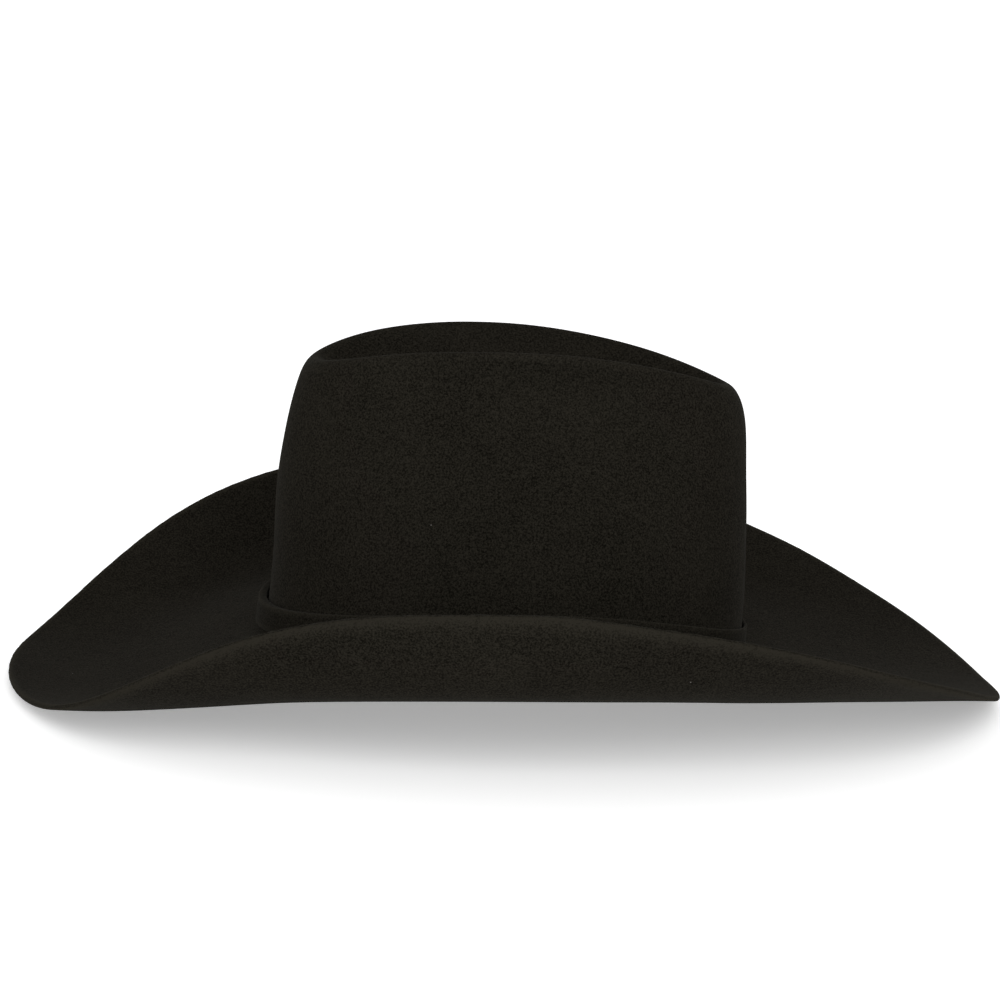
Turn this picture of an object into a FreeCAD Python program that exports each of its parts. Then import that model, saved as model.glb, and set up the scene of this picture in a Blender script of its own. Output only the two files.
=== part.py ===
import FreeCAD, Part
import Sketcher
import math
import os

# Cowboy hat in fur felt: millimetres, +X to the front, +Y to the wearer's left, +Z up.
# The felt is one moulded piece. Its outer face is a cubic surface across a ladder of
# control rings, from the brim edge to the bottom of the crown's centre crease, and every
# piece sewn or laid against the felt is cut from that same surface at its own depth.

Vector = FreeCAD.Vector
doc = FreeCAD.newDocument("CowboyHat")
sheet = doc.addObject("Spreadsheet::Sheet", "Dimensions")

dimensions = {
    "Head oval at the base line, outside the felt": {
        "base_half_long": 103.0, "base_half_wide": 84.0, "egg_share": 0.04,
        "felt_thick": 2.2},
    "Brim: widths, heights of the base line, dips in degrees": {
        "brim_width": 113.0, "brim_front_extra": -1.59, "brim_rear_extra": -2.13,
        "line_front": 4.5, "line_rear": 11.0, "line_side": 24.01,
        "dip_front": 4.42, "dip_rear": 17.52, "dip_side": 5.1,
        "dip_front_quarter": -2.63, "dip_rear_quarter": -1.63},
    "Brim: roll of the sides and curl of the rear, in degrees": {
        "roll_angle": 85.45, "roll_rear_bias": 0.44, "roll_spread": 1.58,
        "roll_rear_spread": 0.28, "roll_from": 0.35, "roll_to": 0.98,
        "curl_rear": 27.46, "ease_rear": 20.96},
    "Crown: the ridge line": {
        "ridge_top": 140.08, "ridge_peak_ahead": -13.51, "front_drop": 17.28,
        "front_power": 2.21, "rear_drop": 11.12, "rear_power": 2.16},
    "Crown: the ovals from the base to the crease": {
        "foot_inset": 0.4, "foot_rise": 7.0,
        "low_ahead": 1.87, "low_half_long": 101.99, "low_half_wide": 80.0,
        "mid_ahead": 0.68, "mid_half_long": 101.3, "mid_half_wide": 66.0,
        "high_ahead": 3.38, "high_half_long": 97.08, "high_half_wide": 52.0,
        "rim_ahead": 2.58, "rim_half_long": 90.86, "rim_half_wide": 48.96,
        "rim_egg": 0.09, "crease_depth": 27.0},
    "Crown: the dents in its two sides": {
        "dent_depth": 7.0, "dent_low_depth": 3.0, "dent_ahead": 15.0, "dent_half_long": 72.0},
    "Hat band and its strap end": {
        "band_middle": 10.2, "band_tall": 11.0, "band_gap": 0.95, "band_thick": 1.3,
        "band_rear_extra": 2.2,
        "strap_gap": 3.3, "strap_thick": 1.4, "strap_hump": 2.8, "strap_reach": 47.0,
        "hump_flat": 2.4, "hump_run": 10.0, "strap_inset": 1.0, "notch_past_eye": 1.8,
        "band_stitch_ahead": 3.0, "band_stitch_gap": 2.4, "band_stitch_tall": 6.0},
    "Buckle, keeper and tip": {
        "frame_front": 10.0, "frame_back": 8.6, "frame_tall": 17.2, "rail_wide": 2.5,
        "window_tall": 12.6, "frame_lift": 3.9, "frame_thick": 2.0, "frame_round": 2.4,
        "pin_ahead": 7.0, "pin_radius": 0.8, "pin_bore": 0.8, "pin_short": 0.8,
        "eye_radius": 1.6, "eye_bore": 0.86, "prong_wide": 2.0, "prong_reach": 16.2,
        "prong_thick": 1.3, "prong_rise": 0.4, "prong_tilt": 2.6, "prong_round": 0.4,
        "notch_wide": 3.4, "keeper_behind": 27.0, "keeper_wide": 5.0, "keeper_metal": 0.8,
        "keeper_back": 0.35, "keeper_lift": 0.3, "keeper_play": 0.4, "keeper_round": 0.5,
        "tip_long": 13.0, "tip_metal": 0.4, "tip_slot": 2.3, "tip_insert": 5.0,
        "tip_past_strap": 1.1, "tip_margin": 1.4, "tip_slot_margin": 0.6, "tip_round": 4.5},
    "Sweatband, reed and stitches": {
        "sweat_depth": 3.25, "sweat_thick": 1.2, "sweat_foot": -1.4, "sweat_top": 46.0,
        "reed_depth": 1.6, "reed_thick": 1.3, "reed_top": 0.6,
        "tape_thick": 0.35, "cloth_gap": 0.15, "thread_gap": 0.1, "stitch_long": 4.2,
        "stitch_thick": 0.5, "stitch_rise": 2.2, "stitch_count": 96.0},
    "Rear seam, bow and size label": {
        "seam_wide": 12.0, "seam_thick": 0.4, "seam_foot": 5.0, "seam_below_top": 1.0,
        "bow_loop_long": 7.0, "bow_loop_tall": 3.2, "bow_loop_thick": 1.2, "bow_loop_rise": 0.6,
        "bow_tail_wide": 2.2, "bow_tail_thick": 0.4, "bow_tail_apart": 2.0, "bow_tail_turn": 24.0,
        "knot_wide": 4.0, "knot_tall": 5.0, "knot_thick": 2.6, "knot_gap": 0.4,
        "bow_rise": 16.0,
        "label_near_turn": 17.0, "label_far_turn": 35.5, "label_foot": 14.0, "label_tall": 11.0,
        "label_thick": 0.4},
    "Lining": {
        "lining_depth": 2.5, "lining_thick": 0.5, "lining_foot": 32.0,
        "piping_depth": 3.3, "piping_thick": 1.1, "top_clear": 1.5, "shield_gap": 0.2,
        "shield_thick": 0.35, "shield_inward": 0.4}}

row = 0
for heading, values in dimensions.items():
    row += 1
    sheet.set("A%d" % row, heading)
    for alias, value in values.items():
        row += 1
        sheet.set("A%d" % row, alias)
        sheet.set("B%d" % row, "%g" % value)
        sheet.setAlias("B%d" % row, alias)
doc.recompute()
size = {alias: float(sheet.get(alias)) for values in dimensions.values() for alias in values}


# ---- the felt's outer face ------------------------------------------------------------

BRIM_STEPS = 100
BRIM_SHARES = (1.0, 0.94, 0.82, 0.68, 0.54, 0.40, 0.26, 0.13, 0.05, 0.0)
RUNGS = len(BRIM_SHARES) + 10
SPANS = RUNGS - 3
LINE, MIDDLE, HIGH, RIM = 9, 12, 13, 14
DENTED = {MIDDLE: size["dent_low_depth"], HIGH: size["dent_depth"]}
NUDGE = 0.01


def weights(angle):
    """How much an angle round the head is front, rear and side."""
    c = math.cos(angle)
    return max(c, 0.0) ** 2, max(-c, 0.0) ** 2, math.sin(angle) ** 2


def line_height(angle):
    """Height of the base line, where the crown meets the brim."""
    front, rear, side = weights(angle)
    return size["line_front"] * front + size["line_rear"] * rear + size["line_side"] * side


def brim_profile(angle):
    """Outward reach and rise from the base line, at each step across the brim."""
    c, s = math.cos(angle), math.sin(angle)
    front, rear, side = weights(angle)
    quarter = size["dip_front_quarter"] if c > 0 else size["dip_rear_quarter"]
    dip = size["dip_front"] * front + size["dip_rear"] * rear + size["dip_side"] * side
    dip += quarter * math.sin(2 * angle) ** 2
    spread = size["roll_spread"] + size["roll_rear_spread"] * (1 - c) / 2
    roll = size["roll_angle"] * abs(s) ** spread * (1 - size["roll_rear_bias"] * c)
    roll += size["curl_rear"] * rear ** 2
    roll -= size["ease_rear"] * max(-c, 0.0) * math.sin(3 * angle) ** 2
    width = size["brim_width"] + size["brim_front_extra"] * front
    width += size["brim_rear_extra"] * rear
    reach, rise = 0.0, 0.0
    steps = [(reach, rise)]
    for i in range(BRIM_STEPS):
        share = ((i + 0.5) / BRIM_STEPS - size["roll_from"]) / (size["roll_to"] - size["roll_from"])
        share = min(max(share, 0.0), 1.0)
        slope = math.radians(roll * share * share * (3 - 2 * share) - dip)
        reach += math.cos(slope) * width / BRIM_STEPS
        rise += math.sin(slope) * width / BRIM_STEPS
        steps.append((reach, rise))
    return steps


def ridge_height(x):
    """Height of the crown's ridge above the table, by the distance ahead."""
    peak = size["ridge_peak_ahead"]
    front = (x - peak) / (size["rim_ahead"] + size["rim_half_long"] - peak)
    rear = (peak - x) / (peak - size["rim_ahead"] + size["rim_half_long"])
    drop = size["front_drop"] * max(front, 0.0) ** size["front_power"]
    drop += size["rear_drop"] * max(rear, 0.0) ** size["rear_power"]
    return size["ridge_top"] - drop


def dent(x):
    """Share of the side dents' depth, by the distance ahead."""
    return max(1 - ((x - size["dent_ahead"]) / size["dent_half_long"]) ** 2, 0.0) ** 2


def crown_ovals():
    """(ahead, half long, half wide, egg, share of the ridge height, lift) for each ring."""
    ahead, long, wide, egg = (size[k] for k in ("rim_ahead", "rim_half_long", "rim_half_wide", "rim_egg"))
    crease = size["crease_depth"]
    inset = size["foot_inset"]
    mixed = (size["egg_share"] + egg) / 2
    # foot, low wall, middle wall, high wall; under, over and inside the rim; then the
    # crease's slope, its floor and the line where its two sides meet
    return (
        (0, size["base_half_long"] - inset, size["base_half_wide"] - inset, size["egg_share"], 0,
         size["foot_rise"]),
        (size["low_ahead"], size["low_half_long"], size["low_half_wide"], size["egg_share"], 0.28, 0),
        (size["mid_ahead"], size["mid_half_long"], size["mid_half_wide"], mixed, 0.62, 0),
        (size["high_ahead"], size["high_half_long"], size["high_half_wide"], egg, 1, -13),
        (ahead, long + 2, wide + 2, egg, 1, -1),
        (ahead, long - 4, wide - 3, egg, 1, 3),
        (ahead, long - 11, wide - 12, egg, 1, -6),
        (ahead, long - 18, wide - 26, egg, 1, -0.62 * crease),
        (ahead, long - 26, wide * 0.16, egg, 1, -crease),
        (ahead, long - 30, 0, 0, 1, -crease))


def ladder(angle):
    """The control points up one profile, from the brim edge to the crease."""
    c, s = math.cos(angle), math.sin(angle)
    foot = Vector(size["base_half_long"] * c,
                  size["base_half_wide"] * s * (1 - size["egg_share"] * c), line_height(angle))
    out = Vector(c / size["base_half_long"], s / size["base_half_wide"], 0).normalize()
    steps = brim_profile(angle)
    points = []
    for share in BRIM_SHARES:
        reach, rise = steps[round(share * BRIM_STEPS)]
        points.append(foot + out * reach + Vector(0, 0, rise))
    ridge = ridge_height(size["rim_ahead"] + size["rim_half_long"] * c)
    for ring, (ahead, half_long, half_wide, egg, share, lift) in enumerate(crown_ovals(), LINE + 1):
        x = ahead + half_long * c
        wide = half_wide * (1 - egg * c) - dent(x) * DENTED.get(ring, 0.0)
        points.append(Vector(x, wide * s, foot.z + share * (ridge - foot.z) + lift))
    return points


profiles = {}


def profile(angle):
    """The smooth curve over one ladder, with its place along it from 0 to 1."""
    key = round(angle, 6)
    if key not in profiles:
        curve = Part.BSplineCurve()
        knots = [i / SPANS for i in range(SPANS + 1)]
        mults = [4] + [1] * (SPANS - 1) + [4]
        curve.buildFromPolesMultsKnots(ladder(angle), mults, knots, False, 3)
        profiles[key] = curve
    return profiles[key]


def rung_place(rung):
    """Place along a profile that is nearest to one control ring."""
    return (rung - 1) / SPANS


def outward(angle, along):
    """Unit normal of the felt's outer face."""
    along = min(max(along, 0.0005), 0.99)
    swing = profile(angle + NUDGE).value(along) - profile(angle - NUDGE).value(along)
    normal = swing.cross(profile(angle).tangent(along)[0])
    if abs(math.sin(angle)) < 1e-6:
        normal.y = 0
    return normal.normalize()


def skin_point(angle, along, depth):
    """A point under the felt's outer face, or above it where the depth is negative."""
    point = profile(angle).value(along) - outward(angle, along) * depth
    if abs(math.sin(angle)) < 1e-6 or along > 0.9999:
        point.y = 0
    return point


def climb(angle, height):
    """Place along a profile at a height above the base line, on the crown's wall."""
    low, high = rung_place(LINE), rung_place(HIGH)
    target = line_height(angle) + height
    for _ in range(30):
        middle = (low + high) / 2
        if profile(angle).value(middle).z < target:
            low = middle
        else:
            high = middle
    return low


def wall_point(angle, height, depth):
    """A point level with the base line's own height, set in from the crown's wall."""
    along = climb(angle, max(height, 5.0))
    level = outward(angle, along)
    level.z = 0
    point = profile(angle).value(along) - level.normalize() * depth
    if abs(math.sin(angle)) < 1e-6:
        point.y = 0
    point.z = line_height(angle) + height
    return point


# ---- solids between two faces ---------------------------------------------------------

OVERRUN = 3
HALF_TURN = [math.pi * i / 36 for i in range(-OVERRUN, 37 + OVERRUN)]


def surface_of(grid):
    surface = Part.BSplineSurface()
    surface.interpolate(grid)
    return surface


def left_half(grid):
    """Surface over the left half, worked out past the middle plane and cut back to it."""
    surface = surface_of(grid)
    knots = surface.getUKnots()
    surface.segment(knots[OVERRUN], knots[-1 - OVERRUN], *surface.bounds()[2:])
    return surface


def joining_faces(outer, inner, ends):
    """Ruled faces between matching edges of two surfaces: first, last, start, finish."""
    faces = []
    for end in ends:
        pair = []
        for surface in (outer, inner):
            u0, u1, v0, v1 = surface.bounds()
            curve = {"first": lambda: surface.uIso(u0), "last": lambda: surface.uIso(u1),
                     "start": lambda: surface.vIso(v0), "finish": lambda: surface.vIso(v1)}[end]()
            pair.append(curve.toShape())
        faces.append(Part.makeRuledSurface(*pair))
    return faces


def closed_solid(faces):
    """Sews faces into one solid, the right way out."""
    sewn = Part.makeCompound(faces)
    sewn.sewShape(0.02)
    solid = Part.Solid(Part.Shell(sewn.Faces))
    if solid.Volume < 0:
        solid.reverse()
    return solid


def ring_solid(outer_grid, inner_grid, ends=("start", "finish")):
    """A ring or cap about the hat's middle plane, from grids over the left half."""
    outer, inner = left_half(outer_grid), left_half(inner_grid)
    half = [outer.toShape(), inner.toShape()] + joining_faces(outer, inner, ends)
    other = [face.mirror(Vector(0, 0, 0), Vector(0, 1, 0)) for face in half]
    return closed_solid(half + other)


def strip_solid(outer_grid, inner_grid):
    """An open strip with both its ends closed."""
    outer, inner = surface_of(outer_grid), surface_of(inner_grid)
    ends = ("first", "last", "start", "finish")
    return closed_solid([outer.toShape(), inner.toShape()] + joining_faces(outer, inner, ends))


def spread(first, last, count):
    return [first + (last - first) * i / (count - 1) for i in range(count)]


def skin_grid(first, last, count, depth):
    """Grid over the left half, between two places along the profiles."""
    return [[skin_point(angle, along, depth) for along in spread(first(angle), last(angle), count)]
            for angle in HALF_TURN]


def skin_cap(first, last, count, depth, thick, ends=("start", "finish")):
    """A ring or cap laid under the felt, between two places along the profiles."""
    grids = [skin_grid(first, last, count, deep) for deep in (depth, depth + thick)]
    return ring_solid(*grids, ends=ends)


def wall_grid(angles, heights, depth):
    """Grid on the crown's wall, between heights above the base line."""
    return [[wall_point(angle, height, depth(angle)) for height in heights] for angle in angles]


def wall_ring(low, high, depth, thick, count=6):
    """A ring that stands against the crown's wall."""
    heights = spread(low, high, count)
    grids = [wall_grid(HALF_TURN, heights, lambda angle: d) for d in (depth, depth + thick)]
    return ring_solid(*grids)


# ---- the parts ------------------------------------------------------------------------

nodes = []


def add_shape(name, shape):
    """A piece whose shape is worked out above, in a node of its own."""
    piece = doc.addObject("Part::Feature", name)
    piece.Label = name
    piece.Shape = shape
    piece.Placement = stand
    nodes.append(piece)
    return piece


def perch(angle, height, lift=0.0):
    """Placement on the crown's wall: X rearwards on the left side, Y up, Z outwards."""
    ahead = wall_point(angle - NUDGE, height, 0)
    behind = wall_point(angle + NUDGE, height, 0)
    up = (wall_point(angle, height + 4, 0) - wall_point(angle, height - 4, 0)).normalize()
    along = (behind - ahead).normalize()
    out = along.cross(up).normalize()
    turn = FreeCAD.Rotation(along, up, out, "ZXY")
    return FreeCAD.Placement(wall_point(angle, height, -lift), turn)


def make_felt():
    """Crown and brim in one piece, of even thickness, with a raw cut edge."""
    return skin_cap(lambda angle: 0.0, lambda angle: 1.0, 81, 0.0, size["felt_thick"], ("start",))


def standing(shape):
    """Placement that rests the brim's front end and its rear on the table, centred over it."""
    front = skin_point(0.0, 0.0, size["felt_thick"])
    rear = [skin_point(math.pi, i / 80, size["felt_thick"]) for i in range(30)]
    pitch = max(math.atan2(front.z - point.z, front.x - point.x) for point in rear)
    turn = FreeCAD.Rotation(Vector(0, 1, 0), math.degrees(pitch))
    turned = shape.copy()
    turned.Placement = FreeCAD.Placement(Vector(0, 0, 0), turn)
    box = turned.optimalBoundingBox(False)
    return FreeCAD.Placement(Vector(-(box.XMin + box.XMax) / 2, 0, -box.ZMin), turn)


def band_thickness(angle):
    """The band is folded thicker where it passes the rear."""
    return size["band_thick"] + size["band_rear_extra"] * weights(angle)[1] ** 3


def make_hat_band():
    """A strip of the same felt, once round the crown."""
    low = size["band_middle"] - size["band_tall"] / 2
    heights = spread(low, low + size["band_tall"], 6)
    outer = wall_grid(HALF_TURN, heights, lambda angle: -size["band_gap"] - band_thickness(angle))
    return ring_solid(outer, wall_grid(HALF_TURN, heights, lambda angle: -size["band_gap"]))


def rearward_angle(distance):
    """Angle on the left side that lies a distance behind the buckle's middle."""
    return math.acos(-distance / size["base_half_long"])


def hump(distance):
    """How far the strap end lifts to pass over the buckle's pin."""
    away = max(abs(distance - size["pin_ahead"]) - size["hump_flat"], 0.0)
    share = max(1.0 - away / size["hump_run"], 0.0)
    return size["strap_hump"] * share * share * (3 - 2 * share)


def make_strap_end():
    """The band's free end: over the pin, through the keeper and into the tip."""
    low = size["band_middle"] - size["band_tall"] / 2
    heights = spread(low, low + size["band_tall"], 6)
    first = -(size["frame_front"] - size["rail_wide"] - size["strap_inset"])
    places = spread(first, size["strap_reach"], 40)
    angles = [rearward_angle(place) for place in places]
    lifts = dict(zip(angles, (size["strap_gap"] + hump(place) for place in places)))
    thick = size["strap_thick"]
    grids = [wall_grid(angles, heights, lambda angle: -lifts[angle] - extra) for extra in (thick, 0.0)]
    strap = strip_solid(*grids)
    notch_end = size["pin_ahead"] + size["eye_radius"] + size["notch_past_eye"]
    notch = Part.makeBox(notch_end - first + 4, size["notch_wide"], 12,
                         Vector(first - 4, -size["notch_wide"] / 2, 1))
    notch.Placement = perch(math.pi / 2, size["band_middle"])
    return strap.cut(notch).Solids[0]


def boxes_along(angles, height, lift, long, tall, deep):
    """Stitches: small bars laid along the wall, lift being outwards."""
    bars = []
    for angle in angles:
        bar = Part.makeBox(long, tall, deep, Vector(-long / 2, -tall / 2, 0))
        bar.Placement = perch(angle, height, lift)
        bars.append(bar)
    return Part.makeCompound(bars)


def make_band_stitches():
    """Two upright stitches that close the band's fold in front of the buckle."""
    ahead = size["frame_front"] + size["band_stitch_ahead"]
    angles = [rearward_angle(-ahead - gap) for gap in (0.0, size["band_stitch_gap"])]
    lift = size["band_gap"] + size["band_thick"] + size["thread_gap"]
    thread = size["stitch_thick"]
    return boxes_along(angles, size["band_middle"], lift, thread, size["band_stitch_tall"], thread)


def make_sweatband():
    return wall_ring(size["sweat_foot"], size["sweat_top"], size["sweat_depth"], size["sweat_thick"], 12)


def make_reed():
    return wall_ring(size["sweat_foot"], size["reed_top"], size["reed_depth"], size["reed_thick"], 4)


def make_reed_tape():
    foot = size["sweat_foot"] - size["cloth_gap"] - size["tape_thick"]
    thick = size["sweat_depth"] + size["sweat_thick"] - size["reed_depth"]
    return wall_ring(foot, foot + size["tape_thick"], size["reed_depth"], thick, 4)


def make_sweatband_stitches():
    count = int(size["stitch_count"])
    angles = [2 * math.pi * (i + 0.5) / count for i in range(count)]
    inside = size["sweat_depth"] + size["sweat_thick"] + size["thread_gap"] + size["stitch_thick"]
    return boxes_along(angles, size["stitch_rise"], -inside, size["stitch_long"],
                       size["stitch_thick"], size["stitch_thick"])


def make_seam_tape():
    """Cloth tape over the sweatband's butt seam at the centre of the rear."""
    half = math.asin(size["seam_wide"] / 2 / size["base_half_wide"])
    angles = spread(math.pi - half, math.pi + half, 7)
    heights = spread(size["seam_foot"], size["sweat_top"] - size["seam_below_top"], 10)
    inner = size["sweat_depth"] + size["sweat_thick"] + size["cloth_gap"]
    depths = (inner, inner + size["seam_thick"])
    return strip_solid(*[wall_grid(angles, heights, lambda angle: depth) for depth in depths])


SEAM = rung_place(HIGH) + 0.015


def make_lining_side():
    return skin_cap(lambda angle: climb(angle, size["lining_foot"]), lambda angle: SEAM - 0.002, 24,
                    size["lining_depth"], size["lining_thick"])


def lining_top_point(angle, inward, drop):
    """A point of the lining's top, from its seam, 0 inward, to the middle plane, 1 inward."""
    point = skin_point(angle, SEAM + 0.004, size["lining_depth"])
    crease = profile(angle).value(1.0)
    floor = crease.z - size["felt_thick"] - size["top_clear"]
    point.x += (crease.x - point.x) * inward
    point.y *= 1 - inward
    point.z += (floor - point.z) * (1 - (1 - inward) ** 2) - drop
    return point


def lining_top(inward, count, drop, thick):
    """A cap that hangs across the crown, under the crease."""
    grids = [[[lining_top_point(angle, share, down) for share in spread(inward, 1.0, count)]
              for angle in HALF_TURN] for down in (drop, drop + thick)]
    return ring_solid(*grids, ends=("start",))


def make_lining_tip():
    return lining_top(0.0, 16, 0.0, size["lining_thick"])


def make_piping():
    """Cord that covers the lining's seam, just under its top."""
    return skin_cap(lambda angle: SEAM - 0.020, lambda angle: SEAM - 0.006, 5,
                    size["piping_depth"], size["piping_thick"])


def make_shield():
    """Clear sheet that keeps the head off the lining's top."""
    drop = size["lining_thick"] + size["shield_gap"]
    return lining_top(size["shield_inward"], 10, drop, size["shield_thick"])


def make_size_label():
    """Blank cloth label on the sweatband, to the left of the rear seam."""
    angles = spread(math.pi - math.radians(size["label_far_turn"]),
                    math.pi - math.radians(size["label_near_turn"]), 7)
    heights = spread(size["label_foot"], size["label_foot"] + size["label_tall"], 5)
    inner = size["sweat_depth"] + size["sweat_thick"] + size["cloth_gap"]
    depths = (inner, inner + size["label_thick"])
    return strip_solid(*[wall_grid(angles, heights, lambda angle: depth) for depth in depths])


# ---- the metal pieces and the bow, as features whose sizes are bound to the sheet ------

def bind(feature, **sizes):
    """Ties properties of a feature to expressions over the sheet."""
    for name, expression in sizes.items():
        feature.setExpression(name, expression)


def cell(alias):
    return "Dimensions." + alias


def shifted(placement, x=0.0, y=0.0, z=0.0):
    return placement * FreeCAD.Placement(Vector(x, y, z), FreeCAD.Rotation())


def new_body(name, placement):
    body = doc.addObject("PartDesign::Body", name)
    body.Label = name
    body.Placement = stand * placement
    nodes.append(body)
    return body


def new_sketch(body, name, role, ahead="0", above="0"):
    """A sketch on one of the body's own planes, shifted in that plane."""
    sketch = body.newObject("Sketcher::SketchObject", name)
    plane = next(item for item in body.Origin.OriginFeatures if item.Role == role)
    sketch.AttachmentSupport = [(plane, "")]
    sketch.MapMode = "FlatFace"
    sketch.setExpression("AttachmentOffset.Base.x", ahead)
    sketch.setExpression("AttachmentOffset.Base.y", above)
    return sketch


def draw_rectangle(sketch, long, wide):
    """A rectangle centred on the sketch's own origin."""
    corners = [Vector(-4, -3, 0), Vector(4, -3, 0), Vector(4, 3, 0), Vector(-4, 3, 0)]
    for i in range(4):
        sketch.addGeometry(Part.LineSegment(corners[i], corners[(i + 1) % 4]), False)
    for i in range(4):
        sketch.addConstraint(Sketcher.Constraint("Coincident", i, 2, (i + 1) % 4, 1))
        sketch.addConstraint(Sketcher.Constraint("Vertical" if i % 2 else "Horizontal", i))
    sketch.addConstraint(Sketcher.Constraint("Symmetric", 0, 1, 1, 2, -1, 1))
    for kind, line, span, expression in (("DistanceX", 0, 8.0, long), ("DistanceY", 1, 6.0, wide)):
        index = sketch.addConstraint(Sketcher.Constraint(kind, line, 1, line, 2, span))
        sketch.setExpression("Constraints[%d]" % index, expression)


def draw_circle(sketch, radius):
    sketch.addGeometry(Part.Circle(Vector(0, 0, 0), Vector(0, 0, 1), 2.0), False)
    sketch.addConstraint(Sketcher.Constraint("Coincident", 0, 3, -1, 1))
    index = sketch.addConstraint(Sketcher.Constraint("Radius", 0, 2.0))
    sketch.setExpression("Constraints[%d]" % index, radius)


def pad(body, sketch, name, length, middle=False):
    feature = body.newObject("PartDesign::Pad", name)
    feature.Profile = sketch
    feature.Midplane = middle
    feature.setExpression("Length", length)
    return feature


def pocket_through(body, sketch, name):
    feature = body.newObject("PartDesign::Pocket", name)
    feature.Profile = sketch
    feature.Type = "ThroughAll"
    feature.Midplane = True
    return feature


def round_edges(body, base, name, radius, wanted):
    """Fillet on the edges of a feature for which wanted(middle, direction) is true."""
    doc.recompute()
    names = []
    for i, edge in enumerate(base.Shape.Edges):
        ends = edge.Vertexes
        if len(ends) == 2 and edge.Curve.TypeId == "Part::GeomLine":
            direction = (ends[1].Point - ends[0].Point).normalize()
            if wanted((ends[0].Point + ends[1].Point) * 0.5, direction):
                names.append("Edge%d" % (i + 1))
    fillet = body.newObject("PartDesign::Fillet", name)
    fillet.Base = (base, names)
    fillet.setExpression("Radius", radius)
    return fillet


def make_buckle_frame(here):
    """Three rails round a window; the pin closes the side towards the rear."""
    back, front = size["frame_back"], size["frame_front"]
    body = new_body("buckle_frame", shifted(here, (back - front) / 2, 0, -size["frame_thick"] / 2))
    outline = new_sketch(body, "frame_outline", "XY_Plane")
    draw_rectangle(outline, cell("frame_back") + " + " + cell("frame_front"), cell("frame_tall"))
    plate = pad(body, outline, "frame_plate", cell("frame_thick"))
    round_edges(body, plate, "frame_corners", cell("frame_round"),
                lambda middle, direction: abs(direction.z) > 0.9)
    window = new_sketch(body, "frame_window", "XY_Plane", cell("rail_wide"))
    draw_rectangle(window, cell("frame_back") + " + " + cell("frame_front"), cell("window_tall"))
    pocket_through(body, window, "frame_opening")
    bore = new_sketch(body, "pin_bore_outline", "XZ_Plane",
                      cell("pin_ahead") + " - (" + cell("frame_back") + " - " + cell("frame_front") + ") / 2",
                      cell("frame_thick") + " / 2")
    draw_circle(bore, cell("pin_bore"))
    pocket_through(body, bore, "pin_bore_cut")
    return body


def make_buckle_pin(here):
    pin = doc.addObject("Part::Cylinder", "buckle_pin")
    pin.Label = "buckle_pin"
    bind(pin, Radius=cell("pin_radius"), Height=cell("frame_tall") + " - " + cell("pin_short"))
    lying = FreeCAD.Placement(Vector(0, (size["frame_tall"] - size["pin_short"]) / 2, 0),
                              FreeCAD.Rotation(Vector(1, 0, 0), 90))
    pin.Placement = stand * shifted(here, size["pin_ahead"]) * lying
    nodes.append(pin)
    return pin


def make_buckle_prong(here):
    """A tongue with an eye on the pin; it rests across the frame's front rail."""
    body = new_body("buckle_prong", shifted(here, size["pin_ahead"]))
    eye = new_sketch(body, "eye_outline", "XZ_Plane")
    draw_circle(eye, cell("eye_radius"))
    pad(body, eye, "eye", cell("prong_wide"), True)
    arm = new_sketch(body, "arm_outline", "XZ_Plane", "-" + cell("prong_reach") + " / 2",
                     cell("frame_thick") + " / 2 + " + cell("prong_rise"))
    arm.AttachmentOffset.Rotation = FreeCAD.Rotation(Vector(0, 0, 1), -size["prong_tilt"])
    draw_rectangle(arm, cell("prong_reach"), cell("prong_thick"))
    bar = pad(body, arm, "arm", cell("prong_wide"), True)
    round_edges(body, bar, "arm_end", cell("prong_round"),
                lambda middle, direction: middle.x < -10 and abs(direction.y) < 0.5
                and abs(direction.x) < 0.5)
    bore = new_sketch(body, "eye_bore_outline", "XZ_Plane")
    draw_circle(bore, cell("eye_bore"))
    pocket_through(body, bore, "eye_bore_cut")
    return body


def make_band_keeper(here):
    """A closed loop round the band and its strap end."""
    body = new_body("band_keeper", here)
    lift = "(" + " + ".join(cell(k) for k in ("strap_gap", "strap_thick", "keeper_lift")) + ")"
    inner = (lift + " - 2 * " + cell("keeper_back"), cell("band_tall") + " + 2 * " + cell("keeper_play"))
    outline = new_sketch(body, "keeper_outline", "YZ_Plane", "0",
                         "(" + cell("keeper_metal") + " - " + cell("keeper_back") + ") / 2")
    draw_rectangle(outline, inner[1] + " + 2 * " + cell("keeper_metal"),
                   inner[0] + " + " + cell("keeper_metal") + " + " + cell("keeper_back"))
    loop = pad(body, outline, "keeper_loop", cell("keeper_wide"), True)
    round_edges(body, loop, "keeper_corners", cell("keeper_round"),
                lambda middle, direction: abs(direction.x) > 0.9 and middle.z > 0)
    window = new_sketch(body, "keeper_window", "YZ_Plane")
    draw_rectangle(window, inner[1], inner[0])
    pocket_through(body, window, "keeper_opening")
    return body


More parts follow.
